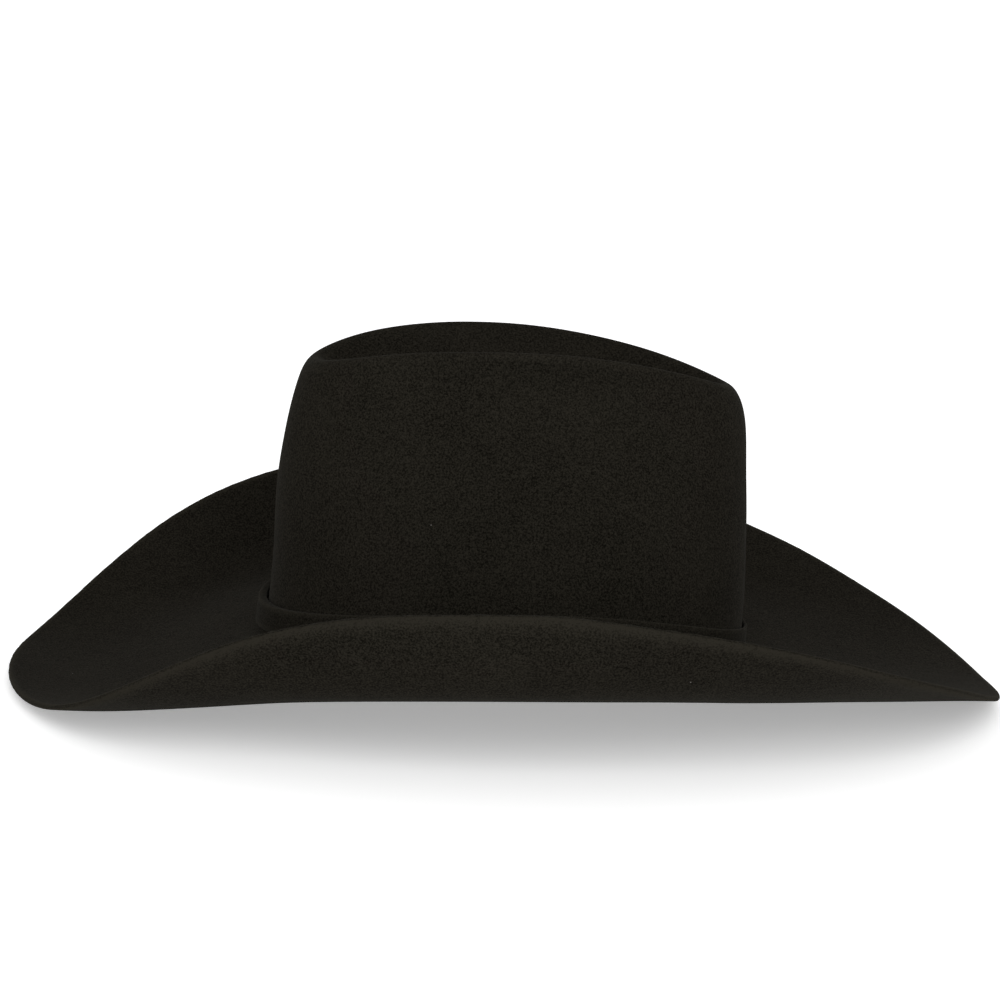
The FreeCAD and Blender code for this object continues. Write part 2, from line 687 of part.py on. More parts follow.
def make_band_tip(here):
    """A flat metal end with a slot for the strap."""
    body = new_body("band_tip", shifted(here, 0, 0, -size["tip_slot"] / 2 - size["tip_metal"]))
    outline = new_sketch(body, "tip_outline", "XY_Plane", cell("tip_long") + " / 2")
    draw_rectangle(outline, cell("tip_long"), cell("band_tall") + " + " + cell("tip_margin"))
    plate = pad(body, outline, "tip_plate", cell("tip_slot") + " + 2 * " + cell("tip_metal"))
    round_edges(body, plate, "tip_corners", cell("tip_round"),
                lambda middle, direction: abs(direction.z) > 0.9 and middle.x > 5)
    slot = new_sketch(body, "slot_outline", "YZ_Plane", "0",
                      cell("tip_metal") + " + " + cell("tip_slot") + " / 2")
    draw_rectangle(slot, cell("band_tall") + " + " + cell("tip_slot_margin"), cell("tip_slot"))
    cut = body.newObject("PartDesign::Pocket", "slot_cut")
    cut.Profile = slot
    cut.Reversed = True
    cut.setExpression("Length", cell("tip_insert") + " + " + cell("tip_past_strap"))
    return body


def ellipsoid(name, long, tall, thick):
    """Half sizes by expression: along X, along Y and along Z."""
    blob = doc.addObject("Part::Ellipsoid", name)
    bind(blob, Radius1=thick + " / 2", Radius2=long + " / 2", Radius3=tall + " / 2")
    return blob


def make_bow():
    """Ribbon bow on the rear seam: two loops and two tails either side of a knot."""
    seam_face = size["sweat_depth"] + size["sweat_thick"] + size["cloth_gap"] + size["seam_thick"]
    here = perch(math.pi, size["bow_rise"], -(seam_face + size["knot_gap"] + size["knot_thick"] / 2))
    knot = ellipsoid("bow_knot", cell("knot_wide"), cell("knot_tall"), cell("knot_thick"))
    knot.Placement = stand * here
    knot.Label = "bow_knot"
    parts = []
    reach = size["knot_wide"] / 2 + size["bow_loop_long"] / 2 + size["thread_gap"]
    for side in (-1, 1):
        loop = ellipsoid("bow_loop", cell("bow_loop_long"), cell("bow_loop_tall"), cell("bow_loop_thick"))
        loop.Placement = shifted(FreeCAD.Placement(), side * reach, size["bow_loop_rise"])
        tail = doc.addObject("Part::Box", "bow_tail")
        bind(tail, Length=cell("bow_tail_wide"), Width=cell("bow_loop_long"), Height=cell("bow_tail_thick"))
        turn = FreeCAD.Rotation(Vector(0, 0, 1), side * size["bow_tail_turn"])
        corner = Vector(side * size["bow_tail_apart"] - size["bow_tail_wide"] / 2,
                        -size["knot_tall"] / 2 - size["bow_loop_long"] - size["knot_gap"],
                        -size["bow_tail_thick"] / 2)
        tail.Placement = FreeCAD.Placement(corner, turn)
        parts += [loop, tail]
    bow = doc.addObject("Part::Compound", "sweatband_bow")
    bow.Label = "sweatband_bow"
    bow.Links = parts
    bow.Placement = stand * here
    nodes.extend([knot, bow])


# ---- put together ---------------------------------------------------------------------

felt_shape = make_felt()
stand = standing(felt_shape)
add_shape("felt_body", felt_shape)
add_shape("hat_band", make_hat_band())
add_shape("band_strap_end", make_strap_end())
add_shape("band_stitches", make_band_stitches())
add_shape("sweatband", make_sweatband())
add_shape("sweatband_reed", make_reed())
add_shape("reed_tape", make_reed_tape())
add_shape("sweatband_stitches", make_sweatband_stitches())
add_shape("rear_seam_tape", make_seam_tape())
add_shape("size_label", make_size_label())
add_shape("lining_side", make_lining_side())
add_shape("lining_tip", make_lining_tip())
add_shape("lining_piping", make_piping())
add_shape("lining_shield", make_shield())

strap_middle = size["strap_gap"] + size["strap_thick"] / 2
keeper_middle = (strap_middle + size["strap_thick"] / 2 + size["keeper_lift"]) / 2 + size["keeper_back"]
buckle_place = perch(math.pi / 2, size["band_middle"], size["frame_lift"] + size["frame_thick"] / 2)
keeper_place = perch(rearward_angle(size["keeper_behind"]), size["band_middle"], keeper_middle)
tip_place = perch(rearward_angle(size["strap_reach"] - size["tip_insert"]), size["band_middle"],
                  strap_middle)
make_buckle_frame(buckle_place)
make_buckle_pin(buckle_place)
make_buckle_prong(buckle_place)
make_band_keeper(keeper_place)
make_band_tip(tip_place)
make_bow()
doc.recompute()

for item in doc.Objects:
    if "Invalid" in item.State or "Error" in item.State:
        raise RuntimeError("%s did not recompute: %s" % (item.Label, item.State))

os.makedirs("parts", exist_ok=True)
for node in nodes:
    shape = node.Shape
    if shape.isNull() or not shape.isValid() or not shape.Solids:
        raise RuntimeError("%s has no sound solid" % node.Label)
    if min(solid.Volume for solid in shape.Solids) <= 0:
        raise RuntimeError("%s is inside out" % node.Label)
    shape.exportStep("parts/%s.step" % node.Label)
    box = shape.BoundBox
    print("%-20s %3d solids %9.1f mm3  x %.1f..%.1f  y %.1f..%.1f  z %.1f..%.1f" % (
        node.Label, len(shape.Solids), shape.Volume, box.XMin, box.XMax, box.YMin, box.YMax,
        box.ZMin, box.ZMax))

pin_line = stand * shifted(buckle_place, size["pin_ahead"])
slide_line = stand * keeper_place
print("stand", stand)
print("prong hinge at", pin_line.Base, "about", pin_line.Rotation.multVec(Vector(0, 1, 0)))
print("keeper slides along", slide_line.Rotation.multVec(Vector(1, 0, 0)))
print("head opening at", stand.multVec(Vector(0, 0, (size["line_front"] + size["line_rear"]) / 2)),
      "facing", stand.Rotation.multVec(Vector(0, 0, -1)))
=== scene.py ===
import bmesh
import bpy
import math
import numpy as np
from mathutils import Euler, Matrix, Vector


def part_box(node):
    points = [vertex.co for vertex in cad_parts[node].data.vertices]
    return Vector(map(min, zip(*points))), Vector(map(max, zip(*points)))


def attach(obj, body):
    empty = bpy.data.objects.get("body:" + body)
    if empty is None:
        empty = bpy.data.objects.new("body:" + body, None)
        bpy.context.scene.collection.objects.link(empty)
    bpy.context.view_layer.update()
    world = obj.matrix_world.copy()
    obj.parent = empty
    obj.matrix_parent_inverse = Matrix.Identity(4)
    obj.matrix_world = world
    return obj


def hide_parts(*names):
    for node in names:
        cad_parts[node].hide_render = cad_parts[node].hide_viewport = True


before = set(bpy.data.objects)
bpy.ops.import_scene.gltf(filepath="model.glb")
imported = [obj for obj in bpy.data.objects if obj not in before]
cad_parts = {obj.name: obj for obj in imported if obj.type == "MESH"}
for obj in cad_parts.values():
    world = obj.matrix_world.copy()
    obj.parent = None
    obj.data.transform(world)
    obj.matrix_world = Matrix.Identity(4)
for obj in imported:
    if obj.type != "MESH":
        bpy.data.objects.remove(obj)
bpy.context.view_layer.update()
print("frame loaded")

# Cowboy hat: +X to the front, +Y to the wearer's left. Shapes are worked out in millimetres
# on an upright hat, then stood on the table and turned to metres when a mesh is made.

hat = {
    "baseHalfLong": 103.0, "baseHalfWide": 84.0, "baseEgg": 0.04, "feltThick": 2.2,
    "brimWidth": 113.0, "brimFrontExtra": -1.59, "brimRearExtra": -2.13,
    "lineFront": 4.5, "lineRear": 11.0, "lineSide": 24.01,
    "dipFront": 4.42, "dipRear": 17.52, "dipSide": 5.1,
    "dipFrontQuarter": -2.63, "dipRearQuarter": -1.63,
    "rollAngle": 85.45, "rollRearBias": 0.44, "rollSpread": 1.58, "rollRearSpread": 0.28,
    "rollFrom": 0.35, "rollTo": 0.98, "curlRear": 27.46, "easeRear": 20.96,
    "ridgeTop": 140.08, "ridgePeakAhead": -13.51, "frontDrop": 17.28, "frontPower": 2.21,
    "rearDrop": 11.12, "rearPower": 2.16,
    "footInset": 0.4, "footRise": 7.0,
    "lowAhead": 1.87, "lowHalfLong": 101.99, "lowHalfWide": 80.0,
    "midAhead": 0.68, "midHalfLong": 101.3, "midHalfWide": 66.0,
    "highAhead": 3.38, "highHalfLong": 97.08, "highHalfWide": 52.0,
    "rimAhead": 2.58, "rimHalfLong": 90.86, "rimHalfWide": 48.96, "rimEgg": 0.09,
    "creaseDepth": 27.0,
    "dentDepth": 7.0, "dentLowDepth": 3.0, "dentAhead": 15.0, "dentHalfLong": 72.0,
    "standPitch": 0.565}      # degrees that the upright hat leans to rest on front and rear

brimShares = (1.0, 0.94, 0.82, 0.68, 0.54, 0.40, 0.26, 0.13, 0.05, 0.0)   # brim edge to base line
rungCount = len(brimShares) + 10
spanCount = rungCount - 3
lineRung, highRung = 9, 13
angleNudge, alongNudge = 0.01, 0.002
brimStepCount = 100


def sidedness(angles):
    c = np.cos(angles)
    return np.maximum(c, 0) ** 2, np.maximum(-c, 0) ** 2, np.sin(angles) ** 2


def lineHeight(angles):
    front, rear, side = sidedness(angles)
    return hat["lineFront"] * front + hat["lineRear"] * rear + hat["lineSide"] * side


def brimProfiles(angles):
    # outward reach and rise from the base line, in rows across the brim
    c, s = np.cos(angles), np.sin(angles)
    front, rear, side = sidedness(angles)
    quarter = np.where(c > 0, hat["dipFrontQuarter"], hat["dipRearQuarter"])
    dip = hat["dipFront"] * front + hat["dipRear"] * rear + hat["dipSide"] * side
    dip = dip + quarter * np.sin(2 * angles) ** 2
    spread = hat["rollSpread"] + hat["rollRearSpread"] * (1 - c) / 2
    roll = hat["rollAngle"] * np.abs(s) ** spread * (1 - hat["rollRearBias"] * c)
    roll = roll + hat["curlRear"] * rear ** 2
    roll = roll - hat["easeRear"] * np.maximum(-c, 0) * np.sin(3 * angles) ** 2
    width = hat["brimWidth"] + hat["brimFrontExtra"] * front + hat["brimRearExtra"] * rear
    middles = (np.arange(brimStepCount) + 0.5) / brimStepCount
    share = np.clip((middles - hat["rollFrom"]) / (hat["rollTo"] - hat["rollFrom"]), 0, 1)
    ramp = (share * share * (3 - 2 * share))[:, None]
    slope = np.radians(roll * ramp - dip)
    start = np.zeros((1, len(angles)))
    reach = np.vstack([start, np.cumsum(np.cos(slope) * width / brimStepCount, axis=0)])
    rise = np.vstack([start, np.cumsum(np.sin(slope) * width / brimStepCount, axis=0)])
    return reach, rise


def ridgeHeight(x):
    peak, ahead, halfLong = hat["ridgePeakAhead"], hat["rimAhead"], hat["rimHalfLong"]
    front = np.maximum((x - peak) / (ahead + halfLong - peak), 0)
    rear = np.maximum((peak - x) / (peak - ahead + halfLong), 0)
    return (hat["ridgeTop"] - hat["frontDrop"] * front ** hat["frontPower"]
            - hat["rearDrop"] * rear ** hat["rearPower"])


def crownOvals():
    # each ring: ahead, half long, half wide, egg, share of the ridge height, lift, dent depth
    ahead, halfLong, halfWide, egg = (hat[k] for k in ("rimAhead", "rimHalfLong", "rimHalfWide", "rimEgg"))
    crease, inset, baseEgg = hat["creaseDepth"], hat["footInset"], hat["baseEgg"]
    return (
        (0, hat["baseHalfLong"] - inset, hat["baseHalfWide"] - inset, baseEgg, 0, hat["footRise"], 0),
        (hat["lowAhead"], hat["lowHalfLong"], hat["lowHalfWide"], baseEgg, 0.28, 0, 0),
        (hat["midAhead"], hat["midHalfLong"], hat["midHalfWide"], (baseEgg + egg) / 2, 0.62, 0,
         hat["dentLowDepth"]),
        (hat["highAhead"], hat["highHalfLong"], hat["highHalfWide"], egg, 1, -13, hat["dentDepth"]),
        (ahead, halfLong + 2, halfWide + 2, egg, 1, -1, 0),
        (ahead, halfLong - 4, halfWide - 3, egg, 1, 3, 0),
        (ahead, halfLong - 11, halfWide - 12, egg, 1, -6, 0),
        (ahead, halfLong - 18, halfWide - 26, egg, 1, -0.62 * crease, 0),
        (ahead, halfLong - 26, halfWide * 0.16, egg, 1, -crease, 0),
        (ahead, halfLong - 30, 0, 0, 1, -crease, 0))


def ladder(angles):
    # control points up the profiles, from the brim edge to the bottom of the crease
    c, s = np.cos(angles), np.sin(angles)
    footX, footY = hat["baseHalfLong"] * c, hat["baseHalfWide"] * s * (1 - hat["baseEgg"] * c)
    outX, outY = c / hat["baseHalfLong"], s / hat["baseHalfWide"]
    outSize = np.hypot(outX, outY)
    outX, outY = outX / outSize, outY / outSize
    base = lineHeight(angles)
    reach, rise = brimProfiles(angles)
    rungs = []
    for share in brimShares:
        step = round(share * brimStepCount)
        x, y = footX + outX * reach[step], footY + outY * reach[step]
        rungs.append(np.stack([x, y, base + rise[step]], -1))
    ridge = ridgeHeight(hat["rimAhead"] + hat["rimHalfLong"] * c)
    for ahead, halfLong, halfWide, egg, share, lift, depth in crownOvals():
        x = ahead + halfLong * c
        dent = np.maximum(1 - ((x - hat["dentAhead"]) / hat["dentHalfLong"]) ** 2, 0) ** 2
        y = (halfWide * (1 - egg * c) - depth * dent) * s
        rungs.append(np.stack([x, y, base + share * (ridge - base) + lift], -1))
    return np.array(rungs)


def splineShares(alongs):
    # share of each control point in the cubic curve, by the place along it from 0 to 1
    knots = np.concatenate([[0.0] * 3, np.linspace(0, 1, spanCount + 1), [1.0] * 3])
    place = np.clip(alongs, 0, 1 - 1e-9)
    shares = [((place >= low) & (place < high)).astype(float) for low, high in zip(knots[:-1], knots[1:])]
    for degree in (1, 2, 3):
        raised = []
        for i in range(len(shares) - 1):
            total = np.zeros_like(place)
            if knots[i + degree] > knots[i]:
                total += (place - knots[i]) / (knots[i + degree] - knots[i]) * shares[i]
            if knots[i + degree + 1] > knots[i + 1]:
                total += ((knots[i + degree + 1] - place) / (knots[i + degree + 1] - knots[i + 1])
                          * shares[i + 1])
            raised.append(total)
        shares = raised
    return np.array(shares)


def feltPoints(angles, alongs):
    # alongs has a column for each angle
    return np.einsum("kmn,kni->mni", splineShares(alongs), ladder(angles))


def feltNormals(angles, alongs):
    alongs = np.clip(alongs, 0.0005, 0.99)
    swing = feltPoints(angles + angleNudge, alongs) - feltPoints(angles - angleNudge, alongs)
    climbing = (feltPoints(angles, np.minimum(alongs + alongNudge, 1))
                - feltPoints(angles, np.maximum(alongs - alongNudge, 0)))
    normals = np.cross(swing, climbing)
    return normals / np.linalg.norm(normals, axis=-1, keepdims=True)


def rungPlace(rung):
    return (rung - 1) / spanCount


handBlocked = {"seed": 5, "waves": 9, "longest": 150.0, "shortest": 34.0, "depth": 0.32}


def handWaves(points):
    # the slight unevenness of felt that was blocked and creased by hand
    chance = np.random.default_rng(handBlocked["seed"])
    total = np.zeros(points.shape[:-1])
    for length in np.geomspace(handBlocked["longest"], handBlocked["shortest"], handBlocked["waves"]):
        direction = chance.normal(size=3)
        direction = direction / np.linalg.norm(direction) * 2 * math.pi / length
        height = (length / handBlocked["longest"]) ** 0.5
        total += np.sin(points @ direction + chance.uniform(0, 2 * math.pi)) * height
    return total * handBlocked["depth"] / math.sqrt(handBlocked["waves"])


def skinPoints(angles, alongs, depth):
    # under the felt's outer face by a depth, or above it where the depth is negative
    outer = feltPoints(angles, alongs)
    lift = handWaves(outer) - depth
    points = outer + feltNormals(angles, alongs) * lift[..., None]
    points[alongs > 0.9999, 1] = 0
    return points


def climb(angles, heights):
    # place along the profile at a height above the base line, on the crown's wall
    table = np.linspace(rungPlace(lineRung), rungPlace(highRung), 240)
    grid = np.repeat(table[:, None], len(angles), axis=1)
    rises = feltPoints(angles, grid)[..., 2] - lineHeight(angles)
    return np.stack([np.interp(heights[:, i], rises[:, i], table) for i in range(len(angles))], axis=1)


wallFoot = 5.0      # below this height a piece hangs straight down instead of following the wall


def wallPoints(angles, heights, depths):
    # level heights above the base line, set in from the wall; rows by section, columns by angle
    shape = (len(heights), len(angles))
    heights = np.broadcast_to(np.reshape(heights, (len(heights), -1)), shape)
    depths = np.broadcast_to(np.reshape(depths, (len(depths), -1)), shape)
    alongs = climb(angles, np.maximum(heights, wallFoot))
    level = feltNormals(angles, alongs)
    level[..., 2] = 0
    level /= np.linalg.norm(level, axis=-1, keepdims=True)
    points = feltPoints(angles, alongs)
    points = points + level * (handWaves(points) - depths)[..., None]
    points[..., 2] = lineHeight(angles) + heights
    return points


def perch(angle, height, lift=0.0):
    # axes on the crown's wall: X rearwards on the left side, Y up the wall, Z outwards
    there = lambda turn, rise: wallPoints(np.array([turn]), np.array([rise]), np.array([0.0]))[0, 0]
    upward = there(angle, height + 4) - there(angle, height - 4)
    along = there(angle + angleNudge, height) - there(angle - angleNudge, height)
    along = along / np.linalg.norm(along)
    out = np.cross(along, upward)
    out = out / np.linalg.norm(out)
    place = wallPoints(np.array([angle]), np.array([height]), np.array([-lift]))[0, 0]
    turn = Matrix((along, np.cross(out, along), out)).transposed().to_4x4()
    return Matrix.Translation(Vector(place)) @ turn


# the felt's own box in the frame says where the leaning hat stands
feltLow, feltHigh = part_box("felt_body")
lean = Matrix.Rotation(math.radians(hat["standPitch"]), 4, "Y")
testAngles = np.linspace(0, 2 * math.pi, 721)
testAlongs = np.repeat(np.linspace(0, 0.6, 61)[:, None], 721, axis=1)
testPoints = [feltPoints(testAngles, testAlongs) - feltNormals(testAngles, testAlongs) * deep
              for deep in (0, hat["feltThick"])]
testCloud = np.concatenate([p.reshape(-1, 3) for p in testPoints]) @ np.array(lean.to_3x3()).T / 1000
stand = Matrix.Translation((
    (feltLow.x + feltHigh.x) / 2 - (testCloud[:, 0].min() + testCloud[:, 0].max()) / 2, 0,
    feltLow.z - testCloud[:, 2].min())) @ lean @ Matrix.Diagonal((0.001, 0.001, 0.001, 1))
standArray = np.array(stand)
print("hat stands at", [round(v * 1000, 3) for v in stand.translation])


def stood(points):
    return points @ standArray[:3, :3].T + standArray[:3, 3]


def addObject(name, data, matrix=Matrix.Identity(4)):
    thing = bpy.data.objects.new(name, data)
    thing.matrix_world = matrix
    bpy.context.scene.collection.objects.link(thing)
    return thing


def addPiece(name, points, faces, material, uvs=None):
    mesh = bpy.data.meshes.new(name)
    mesh.from_pydata(points.tolist(), [], faces)
    if uvs is not None:
        mesh.uv_layers.new(name="cut").data.foreach_set("uv", np.asarray(uvs, dtype=np.float32).ravel())
    mesh.polygons.foreach_set("use_smooth", [True] * len(mesh.polygons))
    mesh.materials.append(material)
    return addObject(name, mesh)


def loft(name, rows, material, around=False, tube=False, caps=False):
    # a mesh through rows of points: around joins the last column to the first, tube the last row
    rowCount, columnCount = rows.shape[:2]
    closedRows = np.concatenate([rows, rows[:1]]) if tube else rows
    closedGrid = np.concatenate([closedRows, closedRows[:, :1]], axis=1) if around else closedRows
    steps = [np.linalg.norm(np.diff(closedGrid, axis=way), axis=-1).mean(axis=1 - way) for way in (1, 0)]
    u, v = (np.concatenate([[0], np.cumsum(step)]) / 1000 for step in steps)
    faces, uvs = [], []
    for i in range(rowCount if tube else rowCount - 1):
        for j in range(columnCount if around else columnCount - 1):
            for down, right in ((0, 0), (0, 1), (1, 1), (1, 0)):
                faces.append((i + down) % rowCount * columnCount + (j + right) % columnCount)
                uvs.append((u[j + right], v[i + down]))
    faces = np.array(faces).reshape(-1, 4).tolist()
    if caps:
        for j, turn in ((0, 1), (columnCount - 1, -1)):
            faces.append([i * columnCount + j for i in range(rowCount)][::turn])
            uvs += [(u[j], v[i]) for i in range(rowCount)][::turn]
    return addPiece(name, stood(rows.reshape(-1, 3)), faces, material, uvs)


def weld(piece, distance=0.00001):
    tool = piece.modifiers.new("weld", "WELD")
    tool.merge_threshold = distance
    applyTools(piece)


def applyTools(piece):
    graph = bpy.context.evaluated_depsgraph_get()
    finished = bpy.data.meshes.new_from_object(piece.evaluated_get(graph))
    piece.modifiers.clear()
    old = piece.data
    piece.data = finished
    finished.name = piece.name
    bpy.data.meshes.remove(old)


def roundTurn(count):
    return np.arange(count) * 2 * math.pi / count


def roundedSection(low, high, near, far, radius, sideSteps=6, cornerSteps=4):
    # heights and depths round an oblong section with rounded corners
    heights, depths = [], []
    corners = ((high - radius, far - radius), (low + radius, far - radius),
               (low + radius, near + radius), (high - radius, near + radius))
    for quarter, (height, depth) in enumerate(corners):
        turns = (quarter + np.arange(cornerSteps + 1) / cornerSteps) * math.pi / 2
        heights += list(height + radius * np.cos(turns))
        depths += list(depth + radius * np.sin(turns))
        nextHeight = (low + radius, None, high - radius, None)[quarter]
        if nextHeight is not None:
            heights += list(np.linspace(height, nextHeight, sideSteps + 1)[1:-1])
            depths += [depths[-1]] * (sideSteps - 1)
    return np.array(heights), np.array(depths)


# shader groups: each is built once and placed in the materials with its own values
def newGroup(name, inputs, outputs):
    tree = bpy.data.node_groups.new(name, "ShaderNodeTree")
    for label, kind, value in inputs:
        tree.interface.new_socket(name=label, in_out="INPUT", socket_type=kind).default_value = value
    for label, kind in outputs:
        tree.interface.new_socket(name=label, in_out="OUTPUT", socket_type=kind)
    return tree, tree.nodes.new("NodeGroupInput"), tree.nodes.new("NodeGroupOutput")


def put(tree, kind, links=None, operation=None, **settings):
    # adds a node; links gives what feeds each input, as another node's output or as a value
    node = tree.nodes.new("ShaderNode" + kind)
    if operation:
        node.operation = operation
    for key, value in settings.items():
        setattr(node, key, value)
    for key, source in (links or {}).items():
        if isinstance(source, bpy.types.NodeSocket):
            tree.links.new(source, node.inputs[key])
        else:
            node.inputs[key].default_value = source
    return node


def sums(tree, operation, first, second=None, third=None, clamp=False):
    given = {i: value for i, value in enumerate((first, second, third)) if value is not None}
    return put(tree, "Math", given, operation, use_clamp=clamp).outputs[0]


def noiseAt(tree, where, scale, detail=2.0, roughness=0.5):
    node = put(tree, "TexNoise", {"Vector": where, "Scale": scale, "Detail": detail, "Roughness": roughness})
    return node.outputs["Fac"]


def spread(tree, value, low, high, newLow=0.0, newHigh=1.0):
    return put(tree, "MapRange", {"Value": value, "From Min": low, "From Max": high,
                                  "To Min": newLow, "To Max": newHigh}).outputs["Result"]


def blendColors(tree, share, first, second):
    node = put(tree, "Mix", data_type="RGBA")
    for socket, source in ((0, share), (6, first), (7, second)):
        if isinstance(source, bpy.types.NodeSocket):
            tree.links.new(source, node.inputs[socket])
        else:
            node.inputs[socket].default_value = source
    return node.outputs[2]


def makeFeltNap():
    # brushed fur felt: matted fibres, soft tufts, cloudy shade, a painted sheen highlight on ridges and
    # edges, and a few specks and hairs of lint
    tree, given, made = newGroup("feltNap", [
        ("Ground", "NodeSocketColor", (0.010, 0.009, 0.008, 1)),
        ("Bloom", "NodeSocketColor", (0.022, 0.020, 0.018, 1)),
        ("Fibre Scale", "NodeSocketFloat", 1500.0), ("Lint", "NodeSocketFloat", 0.5)],
        [("Color", "NodeSocketColor"), ("Roughness", "NodeSocketFloat"), ("Height", "NodeSocketFloat")])
    where = put(tree, "TexCoord").outputs["Object"]
    fibre = noiseAt(tree, where, given.outputs["Fibre Scale"], 3.0, 0.62)
    tuftScale = sums(tree, "MULTIPLY", given.outputs["Fibre Scale"], 0.22)
    tuft = noiseAt(tree, where, tuftScale, 2.0, 0.55)
    cloud = noiseAt(tree, where, 26.0, 3.0, 0.55)
    brushed = put(tree, "Mapping", {"Vector": where, "Scale": (0.35, 1.0, 1.0), "Rotation": (0.3, 0.5, 0.2)})
    stroke = noiseAt(tree, brushed.outputs[0], 340.0, 2.0, 0.5)
    shade = sums(tree, "MULTIPLY_ADD", cloud, 0.6, sums(tree, "MULTIPLY", stroke, 0.4))
    shade = spread(tree, shade, 0.3, 0.7)
    shade = sums(tree, "MULTIPLY", shade, 0.22)
    shade = sums(tree, "MULTIPLY_ADD", spread(tree, fibre, 0.38, 0.62), 0.78, shade)
    # painted highlight: the colour is made lighter on sharp ridges and edges, standing in for the felt's
    # sheen rims
    ridge = spread(tree, put(tree, "NewGeometry").outputs["Pointiness"], 0.505, 0.56)
    shade = sums(tree, "MULTIPLY_ADD", ridge, 0.8, shade, clamp=True)
    color = blendColors(tree, shade, given.outputs["Ground"], given.outputs["Bloom"])
    # specks: the middles of scattered cells; hairs: the same in stretched space
    speckCells = put(tree, "TexVoronoi", {"Vector": where, "Scale": 55.0})
    speck = sums(tree, "LESS_THAN", speckCells.outputs["Distance"], 0.017)
    speckColor = put(tree, "SeparateColor", {0: speckCells.outputs["Color"]})
    chosen = sums(tree, "GREATER_THAN", speckColor.outputs[0], 0.72)
    speck = sums(tree, "MULTIPLY", speck, chosen)
    hairSpace = put(tree, "Mapping", {"Vector": where, "Scale": (1.0, 0.07, 1.0),
                                      "Rotation": (0.7, 0.4, 1.1)})
    hairCells = put(tree, "TexVoronoi", {"Vector": hairSpace.outputs[0], "Scale": 70.0})
    hair = sums(tree, "LESS_THAN", hairCells.outputs["Distance"], 0.008)
    hairColor = put(tree, "SeparateColor", {0: hairCells.outputs["Color"]})
    few = sums(tree, "GREATER_THAN", hairColor.outputs[1], 0.55)
    lint = sums(tree, "MAXIMUM", speck, sums(tree, "MULTIPLY", hair, few))
    lint = sums(tree, "MULTIPLY", lint, given.outputs["Lint"], clamp=True)
    tree.links.new(blendColors(tree, lint, color, (0.16, 0.15, 0.14, 1)), made.inputs["Color"])
    tree.links.new(spread(tree, tuft, 0.3, 0.7, 0.80, 0.98), made.inputs["Roughness"])
    height = sums(tree, "MULTIPLY_ADD", fibre, 0.5, sums(tree, "MULTIPLY", tuft, 0.5))
    tree.links.new(sums(tree, "MULTIPLY_ADD", lint, 0.6, height), made.inputs["Height"])
    return tree


def makeWovenRibs():
    # cloth of crossing threads, by the cut pattern laid on each strip in metres
    tree, given, made = newGroup("wovenRibs", [
        ("Dark", "NodeSocketColor", (0.01, 0.01, 0.01, 1)),
        ("Light", "NodeSocketColor", (0.04, 0.04, 0.04, 1)),
        ("Across", "NodeSocketFloat", 1600.0), ("Along", "NodeSocketFloat", 1600.0),
        ("Rib Share", "NodeSocketFloat", 0.5)],
        [("Color", "NodeSocketColor"), ("Height", "NodeSocketFloat"), ("Roughness", "NodeSocketFloat")])
    cut = put(tree, "UVMap", uv_map="cut")
    sides = put(tree, "SeparateXYZ", {0: cut.outputs[0]})
    waves = []
    for side, count in ((0, "Across"), (1, "Along")):
        turns = sums(tree, "MULTIPLY", sides.outputs[side], given.outputs[count])
        turns = sums(tree, "MULTIPLY", turns, 2 * math.pi)
        waves.append(sums(tree, "MULTIPLY_ADD", sums(tree, "SINE", turns), 0.5, 0.5))
    one = sums(tree, "MULTIPLY", waves[0], given.outputs["Rib Share"])
    other = sums(tree, "MULTIPLY", waves[1], sums(tree, "SUBTRACT", 1.0, given.outputs["Rib Share"]))
    height = sums(tree, "ADD", one, other)
    where = put(tree, "TexCoord").outputs["Object"]
    uneven = noiseAt(tree, where, 160.0, 3.0, 0.6)
    shade = sums(tree, "MULTIPLY_ADD", height, 0.6, sums(tree, "MULTIPLY", uneven, 0.4), clamp=True)
    color = blendColors(tree, shade, given.outputs["Dark"], given.outputs["Light"])
    tree.links.new(color, made.inputs["Color"])
    tree.links.new(height, made.inputs["Height"])
    tree.links.new(spread(tree, uneven, 0.3, 0.7, 0.42, 0.66), made.inputs["Roughness"])
    return tree


def makeHideGrain():
    # dressed leather: fine pebble, pores, creases where it bends, and a burnished rub
    tree, given, made = newGroup("hideGrain", [
        ("Dark", "NodeSocketColor", (0.02, 0.012, 0.008, 1)),
        ("Light", "NodeSocketColor", (0.07, 0.04, 0.024, 1)),
        ("Grain Scale", "NodeSocketFloat", 900.0)],
        [("Color", "NodeSocketColor"), ("Height", "NodeSocketFloat"), ("Roughness", "NodeSocketFloat")])
    where = put(tree, "TexCoord").outputs["Object"]
    pebble = put(tree, "TexVoronoi", {"Vector": where, "Scale": given.outputs["Grain Scale"]},
                 feature="DISTANCE_TO_EDGE").outputs["Distance"]
    crease = noiseAt(tree, where, 210.0, 4.0, 0.6)
    cloud = noiseAt(tree, where, 34.0, 3.0, 0.5)
    crease = sums(tree, "MULTIPLY", crease, 0.5)
    height = sums(tree, "MULTIPLY_ADD", spread(tree, pebble, 0.0, 0.18), 0.6, crease)
    stain = sums(tree, "MULTIPLY", spread(tree, cloud, 0.3, 0.7), 0.6)
    shade = sums(tree, "MULTIPLY_ADD", height, 0.4, stain, clamp=True)
    color = blendColors(tree, shade, given.outputs["Dark"], given.outputs["Light"])
    tree.links.new(color, made.inputs["Color"])
    tree.links.new(height, made.inputs["Height"])
    tree.links.new(spread(tree, cloud, 0.3, 0.7, 0.58, 0.38), made.inputs["Roughness"])
    return tree


